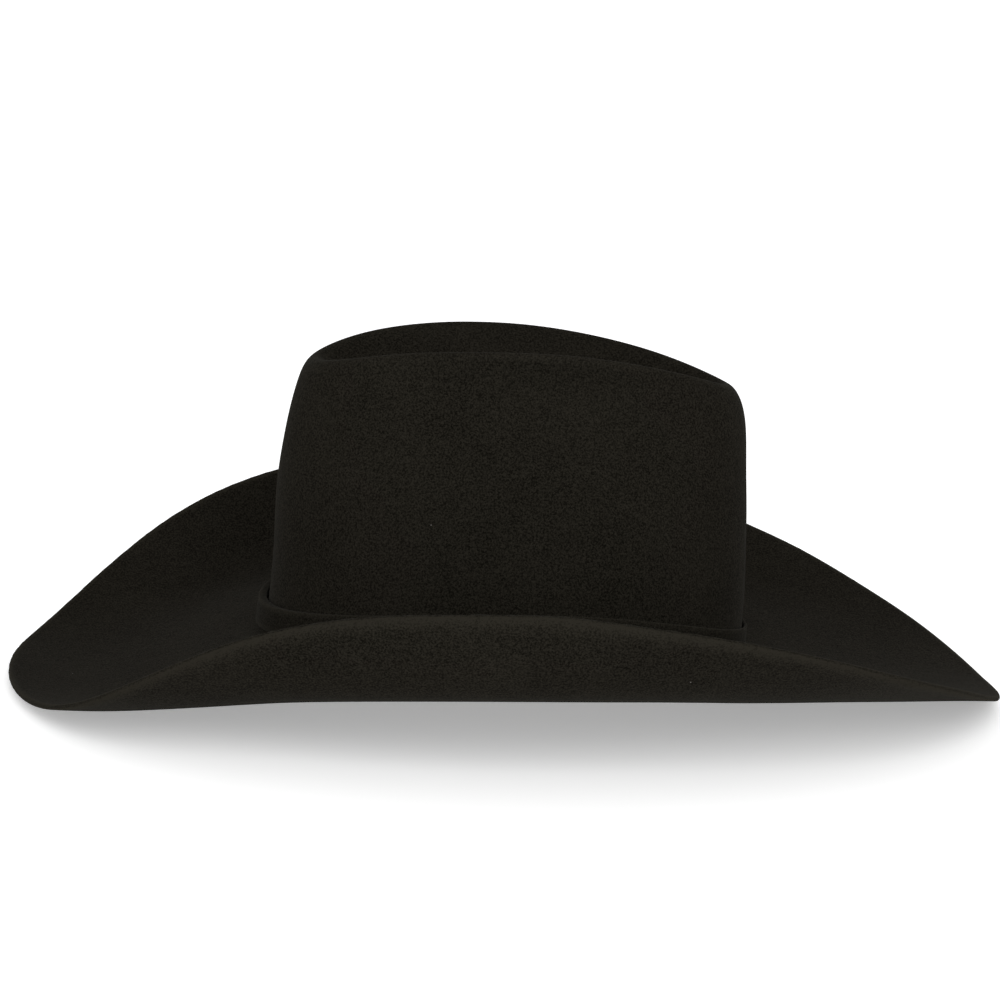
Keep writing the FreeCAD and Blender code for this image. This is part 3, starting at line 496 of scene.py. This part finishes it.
def makeHandledMetal():
    # plated metal: rubbed bright on the edges, dull film in the hollows, hairline scratches
    tree, given, made = newGroup("handledMetal", [
        ("Bright", "NodeSocketColor", (0.72, 0.70, 0.66, 1)),
        ("Film", "NodeSocketColor", (0.26, 0.24, 0.21, 1)),
        ("Scratch Scale", "NodeSocketFloat", 260.0), ("Shine", "NodeSocketFloat", 0.24),
        ("Dullness", "NodeSocketFloat", 0.48)],
        [("Color", "NodeSocketColor"), ("Height", "NodeSocketFloat"), ("Roughness", "NodeSocketFloat")])
    where = put(tree, "TexCoord").outputs["Object"]
    film = noiseAt(tree, where, 300.0, 2.0, 0.5)
    drawn = put(tree, "Mapping", {"Vector": where, "Scale": (14.0, 1.0, 1.0), "Rotation": (0.2, 0.4, 0.9)})
    scratch = noiseAt(tree, drawn.outputs[0], given.outputs["Scratch Scale"], 2.0, 0.7)
    edge = spread(tree, put(tree, "NewGeometry").outputs["Pointiness"], 0.48, 0.56)
    rubbed = sums(tree, "MULTIPLY_ADD", edge, 0.6, spread(tree, film, 0.25, 0.55), clamp=True)
    color = blendColors(tree, rubbed, given.outputs["Film"], given.outputs["Bright"])
    tree.links.new(color, made.inputs["Color"])
    height = sums(tree, "MULTIPLY_ADD", scratch, 0.5, sums(tree, "MULTIPLY", film, 0.5))
    tree.links.new(height, made.inputs["Height"])
    tree.links.new(spread(tree, rubbed, 0.0, 1.0, given.outputs["Dullness"], given.outputs["Shine"]),
                   made.inputs["Roughness"])
    return tree


groups = {"feltNap": makeFeltNap(), "wovenRibs": makeWovenRibs(), "hideGrain": makeHideGrain(),
          "handledMetal": makeHandledMetal()}


def newMaterial(name, group, values, bump, constants):
    material = bpy.data.materials.new(name)
    material.use_nodes = True
    tree = material.node_tree
    shader = tree.nodes["Principled BSDF"]
    effect = put(tree, "Group", node_tree=groups[group])
    for key, value in values.items():
        effect.inputs[key].default_value = value
    tree.links.new(effect.outputs["Color"], shader.inputs["Base Color"])
    tree.links.new(effect.outputs["Roughness"], shader.inputs["Roughness"])
    relief = put(tree, "Bump", {"Height": effect.outputs["Height"], "Strength": bump["strength"],
                                "Distance": bump["distance"]})
    tree.links.new(relief.outputs["Normal"], shader.inputs["Normal"])
    for key, value in constants.items():
        shader.inputs[key].default_value = value
    return material


crownFelt = newMaterial("crownFelt", "feltNap", {
    "Ground": (0.0030, 0.0027, 0.0020, 1), "Bloom": (0.0185, 0.0166, 0.0127, 1), "Fibre Scale": 1350.0,
    "Lint": 0.7}, {"strength": 0.8, "distance": 0.0005},
    {"Sheen Weight": 0.032, "Sheen Roughness": 0.35, "Sheen Tint": (0.9, 0.88, 0.82, 1),
     "Specular IOR Level": 0.0})
bandFelt = newMaterial("bandFelt", "feltNap", {
    "Ground": (0.0030, 0.0027, 0.0020, 1), "Bloom": (0.0170, 0.0152, 0.0116, 1), "Fibre Scale": 1500.0,
    "Lint": 0.4}, {"strength": 0.7, "distance": 0.0004},
    {"Sheen Weight": 0.032, "Sheen Roughness": 0.35, "Sheen Tint": (0.9, 0.88, 0.82, 1),
     "Specular IOR Level": 0.0})
blackTape = newMaterial("blackTape", "wovenRibs", {
    "Dark": (0.006, 0.006, 0.006, 1), "Light": (0.026, 0.025, 0.024, 1), "Across": 1400.0, "Along": 2600.0,
    "Rib Share": 0.8}, {"strength": 0.6, "distance": 0.0002},
    {"Sheen Weight": 0.1, "Specular IOR Level": 0.3})
ribbonSatin = newMaterial("ribbonSatin", "wovenRibs", {
    "Dark": (0.010, 0.010, 0.011, 1), "Light": (0.03, 0.03, 0.032, 1), "Across": 3200.0, "Along": 900.0,
    "Rib Share": 0.25}, {"strength": 0.25, "distance": 0.0001},
    {"Sheen Weight": 0.3, "Specular IOR Level": 0.6})
liningSatin = newMaterial("liningSatin", "wovenRibs", {
    "Dark": (0.028, 0.026, 0.024, 1), "Light": (0.066, 0.061, 0.055, 1), "Across": 2800.0, "Along": 1100.0,
    "Rib Share": 0.3}, {"strength": 0.2, "distance": 0.0001},
    {"Sheen Weight": 0.25, "Specular IOR Level": 0.65})
labelCloth = newMaterial("labelCloth", "wovenRibs", {
    "Dark": (0.46, 0.43, 0.37, 1), "Light": (0.74, 0.71, 0.64, 1), "Across": 1500.0, "Along": 1500.0,
    "Rib Share": 0.5}, {"strength": 0.5, "distance": 0.0002}, {"Sheen Weight": 0.1})
sewingThread = newMaterial("sewingThread", "wovenRibs", {
    "Dark": (0.008, 0.008, 0.008, 1), "Light": (0.035, 0.033, 0.030, 1), "Across": 900.0, "Along": 2400.0,
    "Rib Share": 0.6}, {"strength": 0.7, "distance": 0.0001},
    {"Sheen Weight": 0.15, "Specular IOR Level": 0.4})
reedPlastic = newMaterial("reedPlastic", "hideGrain", {
    "Dark": (0.012, 0.012, 0.012, 1), "Light": (0.03, 0.03, 0.03, 1), "Grain Scale": 2200.0},
    {"strength": 0.15, "distance": 0.0001}, {"Specular IOR Level": 0.45})
sweatLeather = newMaterial("sweatLeather", "hideGrain", {
    "Dark": (0.022, 0.012, 0.007, 1), "Light": (0.082, 0.046, 0.026, 1), "Grain Scale": 1150.0},
    {"strength": 0.35, "distance": 0.0002}, {"Coat Weight": 0.12, "Coat Roughness": 0.35})
nickelPlate = newMaterial("nickelPlate", "handledMetal", {
    "Bright": (0.80, 0.78, 0.74, 1), "Film": (0.56, 0.53, 0.48, 1), "Scratch Scale": 300.0,
    "Shine": 0.32, "Dullness": 0.5},
    {"strength": 0.06, "distance": 0.00005}, {"Metallic": 1.0})
clearSheet = newMaterial("clearSheet", "handledMetal", {
    "Bright": (0.93, 0.95, 0.95, 1), "Film": (0.80, 0.83, 0.82, 1), "Scratch Scale": 140.0,
    "Shine": 0.05, "Dullness": 0.14},
    {"strength": 0.08, "distance": 0.0001}, {"Transmission Weight": 0.95, "IOR": 1.46})
print("materials made")


def onHat(piece, node):
    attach(piece, "hat")
    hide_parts(node)
    return piece


feltMesh = {"columns": 480, "outerRows": 210, "innerRows": 90, "edgeSteps": 6,
            "edgeStart": 0.0015, "edgeBulge": 0.45, "edgeFray": 0.07, "fraySeed": 11}


def makeFelt():
    angles = roundTurn(feltMesh["columns"])
    thick = hat["feltThick"]

    def side(places, depth):
        return skinPoints(angles, np.repeat(places[:, None], len(angles), axis=1), depth)
    outer = side(np.linspace(feltMesh["edgeStart"], 1, feltMesh["outerRows"]), 0.0)
    inner = side(np.linspace(1, feltMesh["edgeStart"], feltMesh["innerRows"]), thick)
    top, bottom = outer[0], inner[-1]
    outwards = outer[0] - outer[1]
    outwards = outwards / np.linalg.norm(outwards, axis=-1, keepdims=True)
    chance = np.random.default_rng(feltMesh["fraySeed"])
    edge = []
    for i in range(1, feltMesh["edgeSteps"]):
        share = i / feltMesh["edgeSteps"]
        bulge = feltMesh["edgeBulge"] * (1 - abs(2 * share - 1) ** 3)
        fray = chance.normal(0, feltMesh["edgeFray"], (len(angles), 1))
        edge.append(bottom + (top - bottom) * share + outwards * (bulge + fray))
    rows = np.concatenate([inner, np.array(edge), outer])
    felt = loft("feltBody", rows, crownFelt, around=True)
    weld(felt)
    return onHat(felt, "felt_body")


felt = makeFelt()
print("felt made", len(felt.data.vertices))

hatBand = {"middle": 10.2, "tall": 11.0, "gap": 0.95, "thick": 1.3, "rearExtra": 2.2, "round": 0.45,
           "columns": 300, "cut": (0.0125, 0.62)}


def ringPiece(name, section, material, columns):
    # a closed ring on the crown's wall, from the heights and depths round its section
    return loft(name, wallPoints(roundTurn(columns), *section), material, around=True, tube=True)


def makeHatBand():
    low, angles = hatBand["middle"] - hatBand["tall"] / 2, roundTurn(hatBand["columns"])
    heights, shares = roundedSection(low, low + hatBand["tall"], 0.0, 1.0, hatBand["round"])
    thick = hatBand["thick"] + hatBand["rearExtra"] * sidedness(angles)[1] ** 3
    depths = -hatBand["gap"] - thick * (1 - shares[:, None])
    band = loft("hatBand", wallPoints(angles, heights, depths), bandFelt, around=True, tube=True)
    return onHat(band, "hat_band")


makeHatBand()

strapEnd = {"gap": 3.3, "thick": 1.4, "hump": 2.8, "humpFlat": 2.4, "humpRun": 10.0, "first": -6.5,
            "reach": 47.0, "pinAhead": 7.0, "notchWide": 3.4, "notchEnd": 10.4, "holes": (16.0, 36.5),
            "holeRadius": 0.9, "round": 0.4, "columns": 70, "cutDeep": 12.0, "cutLift": 7.0, "holeLift": 5.0}


def rearwardAngle(distance):
    # angle on the left side that lies a distance behind the buckle's middle
    return math.acos(-distance / hat["baseHalfLong"])


def addCutter(kind, place, **sizes):
    shape = bmesh.new()
    if kind == "box":
        bmesh.ops.create_cube(shape, size=1.0, matrix=Matrix.Diagonal((*sizes["size"], 1)))
    else:
        bmesh.ops.create_cone(shape, cap_ends=True, segments=24, radius1=sizes["radius"],
                              radius2=sizes["radius"], depth=sizes["depth"])
    mesh = bpy.data.meshes.new("cutter")
    shape.to_mesh(mesh)
    shape.free()
    mesh.transform(stand @ place)
    return addObject("cutter", mesh)


def makeStrapEnd():
    places = np.linspace(strapEnd["first"], strapEnd["reach"], strapEnd["columns"])
    angles = np.arccos(-places / hat["baseHalfLong"])
    away = np.maximum(np.abs(places - strapEnd["pinAhead"]) - strapEnd["humpFlat"], 0) / strapEnd["humpRun"]
    share = np.maximum(1 - away, 0)
    lifts = strapEnd["gap"] + strapEnd["hump"] * share * share * (3 - 2 * share)
    low = hatBand["middle"] - hatBand["tall"] / 2
    heights, depths = roundedSection(low, low + hatBand["tall"], 0, strapEnd["thick"], strapEnd["round"])
    rows = wallPoints(angles, heights, depths[:, None] - (lifts + strapEnd["thick"])[None, :])
    strap = loft("strapEnd", rows, bandFelt, tube=True, caps=True)
    middle = perch(math.pi / 2, hatBand["middle"])
    half = strapEnd["notchWide"] / 2
    long = strapEnd["notchEnd"] - half - strapEnd["first"] + 4
    end, lift, deep = strapEnd["notchEnd"] - half, strapEnd["cutLift"], strapEnd["cutDeep"]
    cutters = [addCutter("box", middle @ Matrix.Translation((end - long / 2, 0, lift)),
                         size=(long, strapEnd["notchWide"], deep)),
               addCutter("rod", middle @ Matrix.Translation((end, 0, lift)), radius=half, depth=deep)]
    for place in strapEnd["holes"]:
        cutters.append(addCutter("rod", perch(rearwardAngle(place), hatBand["middle"], strapEnd["holeLift"]),
                                 radius=strapEnd["holeRadius"], depth=deep))
    for cutter in cutters:
        tool = strap.modifiers.new("cut", "BOOLEAN")
        tool.object, tool.operation, tool.solver = cutter, "DIFFERENCE", "EXACT"
    applyTools(strap)
    for cutter in cutters:
        bpy.data.objects.remove(cutter)
    return onHat(strap, "band_strap_end")


makeStrapEnd()
print("band made")

thread = {"radius": 0.27, "sides": 8, "steps": 9, "bandAhead": 13.0, "bandGap": 2.4, "bandTall": 6.0,
          "sweatCount": 96, "sweatLong": 4.2, "sweatRise": 2.2, "sweatLift": 0.65, "flatness": 0.8,
          "girth": 0.0008}


def stitchRun(name, places, long, upright, node):
    # short rounded stitches, each with both its ends sunk
    points, faces, uvs = [], [], []
    sides, steps = thread["sides"], thread["steps"]
    for place in places:
        first = len(points)
        for i in range(steps):
            along = (i / (steps - 1) - 0.5) * long
            share = 1 - abs(2 * i / (steps - 1) - 1) ** 4
            thick = thread["radius"] * max(share, 0.12) ** 0.5
            for k in range(sides):
                turn = 2 * math.pi * k / sides
                lift = thick * math.sin(turn) * thread["flatness"] + thread["radius"] * share
                spot = (along, thick * math.cos(turn), lift)
                if upright:
                    spot = (-spot[1], spot[0], spot[2])
                points.append((place @ Vector(spot))[:])
        for i in range(steps - 1):
            for k in range(sides):
                corners = ((i, k), (i, k + 1), (i + 1, k + 1), (i + 1, k))
                faces.append([first + a * sides + b % sides for a, b in corners])
                uvs += [(a * long / steps / 1000, (a + b) / sides * thread["girth"]) for a, b in corners]
        for i, turn in ((0, -1), (steps - 1, 1)):
            faces.append([first + i * sides + k for k in range(sides)][::turn])
            uvs += [(0.0, k / sides * thread["girth"]) for k in range(sides)]
    piece = addPiece(name, stood(np.array(points)), faces, sewingThread, uvs)
    return onHat(piece, node)


sweatband = {"depth": 3.25, "thick": 1.2, "foot": -1.4, "top": 46.0, "round": 0.5, "columns": 240,
             "cut": (0.0475, 0.59), "seamHalf": 6.0, "seamThick": 0.4, "seamFoot": 5.0,
             "seamBelowTop": 1.0, "clothGap": 0.15}
reed = {"depth": 1.6, "thick": 1.3, "top": 0.6, "round": 0.6, "tapeThick": 0.35, "tapeRound": 0.15}
label = {"nearTurn": 17.0, "farTurn": 35.5, "foot": 14.0, "tall": 11.0, "thick": 0.4, "columns": 24}


def clothPatch(name, angles, low, high, near, thick, material):
    heights, depths = roundedSection(low, high, near, near + thick, thick * 0.42, sideSteps=14)
    return loft(name, wallPoints(angles, heights, depths), material, tube=True, caps=True)


def makeSweatband():
    far = sweatband["depth"] + sweatband["thick"]
    section = roundedSection(sweatband["foot"], sweatband["top"], sweatband["depth"], far,
                             sweatband["round"], sideSteps=24)
    leather = ringPiece("sweatBand", section, sweatLeather, sweatband["columns"])
    onHat(leather, "sweatband")
    section = roundedSection(sweatband["foot"], reed["top"], reed["depth"], reed["depth"] + reed["thick"],
                             reed["round"], sideSteps=2)
    cord = ringPiece("sweatReed", section, reedPlastic, sweatband["columns"])
    onHat(cord, "sweatband_reed")
    foot = sweatband["foot"] - sweatband["clothGap"] - reed["tapeThick"]
    section = roundedSection(foot, foot + reed["tapeThick"], reed["depth"], far, reed["tapeRound"])
    tape = ringPiece("reedTape", section, blackTape, sweatband["columns"])
    onHat(tape, "reed_tape")
    inside = far + sweatband["clothGap"]
    half = math.asin(sweatband["seamHalf"] / hat["baseHalfWide"])
    seam = clothPatch("rearSeamTape", np.linspace(math.pi - half, math.pi + half, 12), sweatband["seamFoot"],
                      sweatband["top"] - sweatband["seamBelowTop"], inside, sweatband["seamThick"], blackTape)
    onHat(seam, "rear_seam_tape")
    turns = np.radians(180 - np.linspace(label["farTurn"], label["nearTurn"], label["columns"]))
    tag = clothPatch("sizeLabel", turns, label["foot"], label["foot"] + label["tall"], inside,
                     label["thick"], labelCloth)
    onHat(tag, "size_label")
    count = thread["sweatCount"]
    lift = -far - thread["sweatLift"]
    places = [perch(2 * math.pi * (i + 0.5) / count, thread["sweatRise"], lift) for i in range(count)]
    stitchRun("sweatStitches", places, thread["sweatLong"], False, "sweatband_stitches")
    lift = hatBand["gap"] + hatBand["thick"]
    places = [perch(rearwardAngle(-thread["bandAhead"] - gap), hatBand["middle"], lift)
              for gap in (0.0, thread["bandGap"])]
    stitchRun("bandStitches", places, thread["bandTall"], True, "band_stitches")


makeSweatband()
print("sweatband made")

lining = {"depth": 2.5, "thick": 0.5, "foot": 32.0, "topClear": 1.5, "pleats": 56, "pleatDeep": 0.9,
          "columns": 672, "sideCut": (0.093, 0.53), "topCut": (0.135, 0.22), "topArea": 0.0215,
          "pipingDepth": 3.85, "pipingHalf": 0.52, "pipingBelow": 0.013, "pipingReach": 0.006,
          "pipingTwist": 0.12, "pipingTurns": 150, "topAbove": 0.004, "wallBelow": 0.002,
          "shieldInward": 0.4, "shieldGap": 0.2, "shieldSink": 0.4, "shieldThick": 0.35}
liningSeam = rungPlace(highRung) + 0.015


def pleats(angles):
    return (1 + np.cos(lining["pleats"] * angles)) / 2 * lining["pleatDeep"]


def liningTop(angles, inward, drop):
    # inward runs from 0 at the seam to 1 at the hat's middle plane, one row for each
    seam = np.full((len(inward), len(angles)), liningSeam + lining["topAbove"])
    points = skinPoints(angles, seam, lining["depth"])
    crease = feltPoints(angles, np.ones((1, len(angles))))[0]
    share = inward[:, None]
    gather = pleats(angles) * (1 - share) ** 2 * np.minimum(share * 8, 1)
    points[..., 0] += (crease[:, 0] - points[..., 0]) * share
    points[..., 1] *= 1 - share
    floor = crease[:, 2] - hat["feltThick"] - lining["topClear"]
    points[..., 2] += (floor - points[..., 2]) * (1 - (1 - share) ** 2) - drop - gather
    points[share[:, 0] > 0.9999, :, 1] = 0
    return points


def makeLining():
    angles = roundTurn(lining["columns"])
    low = climb(angles, np.full((1, len(angles)), lining["foot"]))[0]
    share = np.linspace(0, 1, 18)[:, None]
    alongs = low + (liningSeam - lining["wallBelow"] - low) * share
    pleat = pleats(angles) * share ** 2
    outer = skinPoints(angles, alongs, lining["depth"] + pleat)
    inner = skinPoints(angles, alongs, lining["depth"] + lining["thick"] + pleat)[::-1]
    wall = loft("liningWall", np.concatenate([outer, inner]), liningSatin, around=True, tube=True)
    onHat(wall, "lining_side")
    inward = np.linspace(0, 1, 22)
    rows = [liningTop(angles, inward, 0.0)[::-1], liningTop(angles, inward, lining["thick"])]
    top = loft("liningTop", np.concatenate(rows), liningSatin, around=True)
    weld(top)
    onHat(top, "lining_tip")
    turns = roundTurn(12)
    alongs = liningSeam - lining["pipingBelow"] + lining["pipingReach"] * np.cos(turns)[:, None] + 0 * angles
    twist = 1 + lining["pipingTwist"] * np.cos(turns[:, None] * 2 + angles * lining["pipingTurns"])
    depths = lining["pipingDepth"] - lining["pipingHalf"] * np.sin(turns)[:, None] * twist
    piping = loft("liningPiping", skinPoints(angles, alongs, depths), blackTape, around=True, tube=True)
    onHat(piping, "lining_piping")
    angles = roundTurn(240)
    inward = np.linspace(lining["shieldInward"], 1, 12)
    drop = lining["thick"] + lining["shieldGap"] + lining["pleatDeep"] * lining["shieldSink"]
    rows = [liningTop(angles, inward, drop)[::-1], liningTop(angles, inward, drop + lining["shieldThick"])]
    sheet = loft("liningShield", np.concatenate(rows), clearSheet, around=True)
    weld(sheet)
    onHat(sheet, "lining_shield")


makeLining()
print("lining made")

bow = {"rise": 16.0, "loopLong": 7.2, "loopDeep": 0.6, "ribbonWide": 3.4, "ribbonThick": 0.22,
       "tailLong": 7.0, "tailWide": 2.2, "tailTurn": 24.0,
       "knotWide": 3.6, "knotTall": 4.6, "knotDeep": 2.3, "standOff": 6.7,
       "loopStart": 0.6, "loopRaise": 0.6, "loopNarrow": 0.42, "loopSwell": 0.58,
       "tailStart": 0.8, "tailNarrow": 0.7, "tailSwell": 0.3, "tailDrop": 1.6, "tailNotch": 1.6}


def makeBow():
    place = perch(math.pi, bow["rise"], -bow["standOff"])
    strips = []
    for side in (-1, 1):
        turns = np.linspace(0, 2 * math.pi, 33)[:-1]
        across = np.linspace(-0.5, 0.5, 7)
        wide = bow["ribbonWide"] * (bow["loopNarrow"] + bow["loopSwell"] * np.sin(turns / 2) ** 0.8)
        x = side * (bow["loopStart"] + bow["loopLong"] * np.sin(turns / 2) ** 1.3)
        z = bow["loopDeep"] * np.sin(turns) * (1 + 0.15 * side)
        y = bow["loopRaise"] + across[None, :] * wide[:, None] + 0.12 * np.cos(3 * turns)[:, None]
        loop = np.stack([np.repeat(x[:, None], 7, 1), y, np.repeat(z[:, None], 7, 1)
                         + 0.1 * np.cos(across * 9)[None, :]], -1)
        strips.append((loop, True))
        down = np.linspace(0, 1, 14)[:, None]
        lean = math.tan(math.radians(bow["tailTurn"]))
        wide = bow["tailWide"] * (bow["tailNarrow"] + bow["tailSwell"] * down)
        x = side * (bow["tailStart"] + down * bow["tailLong"] * lean) + across[None, :] * wide
        y = -bow["tailDrop"] - down * bow["tailLong"]
        y = y + np.abs(across)[None, :] * -bow["tailNotch"] * down ** 6      # the ends are cut to a notch
        z = 0.25 * np.sin(down * 5 + side) + 0.0 * across[None, :]
        strips.append((np.stack([x, y, z], -1), False))
    turnArray = np.array(place)
    pieces = []
    for strip, closed in strips:
        rows = strip @ turnArray[:3, :3].T + turnArray[:3, 3]
        ribbon = loft("sweatBow", rows, ribbonSatin, tube=closed)
        tool = ribbon.modifiers.new("thicken", "SOLIDIFY")
        tool.thickness, tool.offset = bow["ribbonThick"] / 1000, 0
        applyTools(ribbon)
        pieces.append(ribbon)
    with bpy.context.temp_override(active_object=pieces[0], selected_editable_objects=pieces):
        bpy.ops.object.join()
    onHat(pieces[0], "sweatband_bow")
    rise, turn = np.linspace(0, math.pi, 16)[:, None], roundTurn(28)[None, :]
    fold = 1 + 0.05 * np.cos(turn * 5) * np.sin(rise)
    knot = np.stack([np.sin(rise) ** 0.7 * np.cos(turn) * bow["knotWide"] / 2 * fold,
                     np.cos(rise) * bow["knotTall"] / 2 + 0 * turn,
                     np.sin(rise) ** 0.7 * np.sin(turn) * bow["knotDeep"] / 2 * fold], -1)
    wrap = loft("bowKnot", knot @ turnArray[:3, :3].T + turnArray[:3, 3], ribbonSatin, around=True)
    weld(wrap)
    onHat(wrap, "bow_knot")


makeBow()
print("bow made")

cameraPlace = {"target": (-0.0051, 0.0, 0.0790), "distance": 1.3, "azimuth": -7.18, "elevation": 10.99,
               "roll": 2.08, "lens": 109.3}


def makeCamera():
    camera = addObject("camera", bpy.data.cameras.new("camera"))
    turn, rise = math.radians(cameraPlace["azimuth"]), math.radians(cameraPlace["elevation"])
    back = Vector((math.sin(turn) * math.cos(rise), -math.cos(turn) * math.cos(rise), math.sin(rise)))
    looking = back.to_track_quat("Z", "Y").to_matrix().to_4x4()
    spin = Matrix.Rotation(math.radians(cameraPlace["roll"]), 4, "Z")
    camera.matrix_world = (Matrix.Translation(Vector(cameraPlace["target"]) + back * cameraPlace["distance"])
                           @ looking @ spin)
    camera.data.lens = cameraPlace["lens"]
    camera.data.sensor_width = 36
    bpy.context.scene.camera = camera


studio = {
    "floorColor": (0.94, 0.94, 0.94, 1), "floorGlow": 0.34, "floorHalf": 12.0,
    "skyStrength": 1.3, "skyOverhead": 0.42, "skyFrom": 0.12, "skyTo": 0.75,
    "sunTurn": (48.0, 0.0, -4.0), "sunPower": 1.0, "sunWidth": 50.0, "lampAim": 0.07,
    "lamps": (("frontBox", (0.5, -1.9, 0.7), (1.4, 1.0), 4.0),)}     # name, place, size, power


def makeStudio():
    half = studio["floorHalf"]
    mesh = bpy.data.meshes.new("floor")
    corners = [(x * half, y * half, 0) for x, y in ((-1, -1), (1, -1), (1, 1), (-1, 1))]
    mesh.from_pydata(corners, [], [(0, 1, 2, 3)])
    floor = addObject("floor", mesh)
    paint = bpy.data.materials.new("floorPaint")
    paint.use_nodes = True
    for key, value in (("Base Color", studio["floorColor"]), ("Roughness", 0.9),
                       ("Emission Color", (1, 1, 1, 1)), ("Emission Strength", studio["floorGlow"])):
        paint.node_tree.nodes["Principled BSDF"].inputs[key].default_value = value
    mesh.materials.append(paint)
    world = bpy.data.worlds.new("studio")
    world.use_nodes = True
    # a studio tent: bright low down all round, dimmer overhead
    tree = world.node_tree
    way = put(tree, "SeparateXYZ", {0: put(tree, "TexCoord").outputs["Generated"]}).outputs["Z"]
    dim = spread(tree, way, studio["skyFrom"], studio["skyTo"])
    full = studio["skyStrength"]
    strength = sums(tree, "MULTIPLY_ADD", dim, (studio["skyOverhead"] - 1) * full, full)
    tree.links.new(strength, tree.nodes["Background"].inputs["Strength"])
    tree.nodes["Background"].inputs["Color"].default_value = (1, 1, 1, 1)
    bpy.context.scene.world = world
    sun = bpy.data.lights.new("softSun", "SUN")
    sun.energy, sun.angle = studio["sunPower"], math.radians(studio["sunWidth"])
    addObject("softSun", sun, Euler([math.radians(v) for v in studio["sunTurn"]]).to_matrix().to_4x4())
    for name, place, lampSize, power in studio["lamps"]:
        data = bpy.data.lights.new(name, "AREA")
        data.shape, data.energy = "RECTANGLE", power
        data.size, data.size_y = lampSize
        aim = (Vector(place) - Vector((0, 0, studio["lampAim"]))).to_track_quat("Z", "Y").to_matrix().to_4x4()
        addObject(name, data, Matrix.Translation(place) @ aim)
    bpy.context.scene.view_settings.view_transform = "Standard"


makeCamera()
makeStudio()
print("camera and studio made")

for name in ("buckle_frame", "buckle_pin", "buckle_prong", "band_keeper", "band_tip"):
    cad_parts[name].data.materials.clear()
    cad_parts[name].data.materials.append(nickelPlate)

bpy.context.view_layer.update()
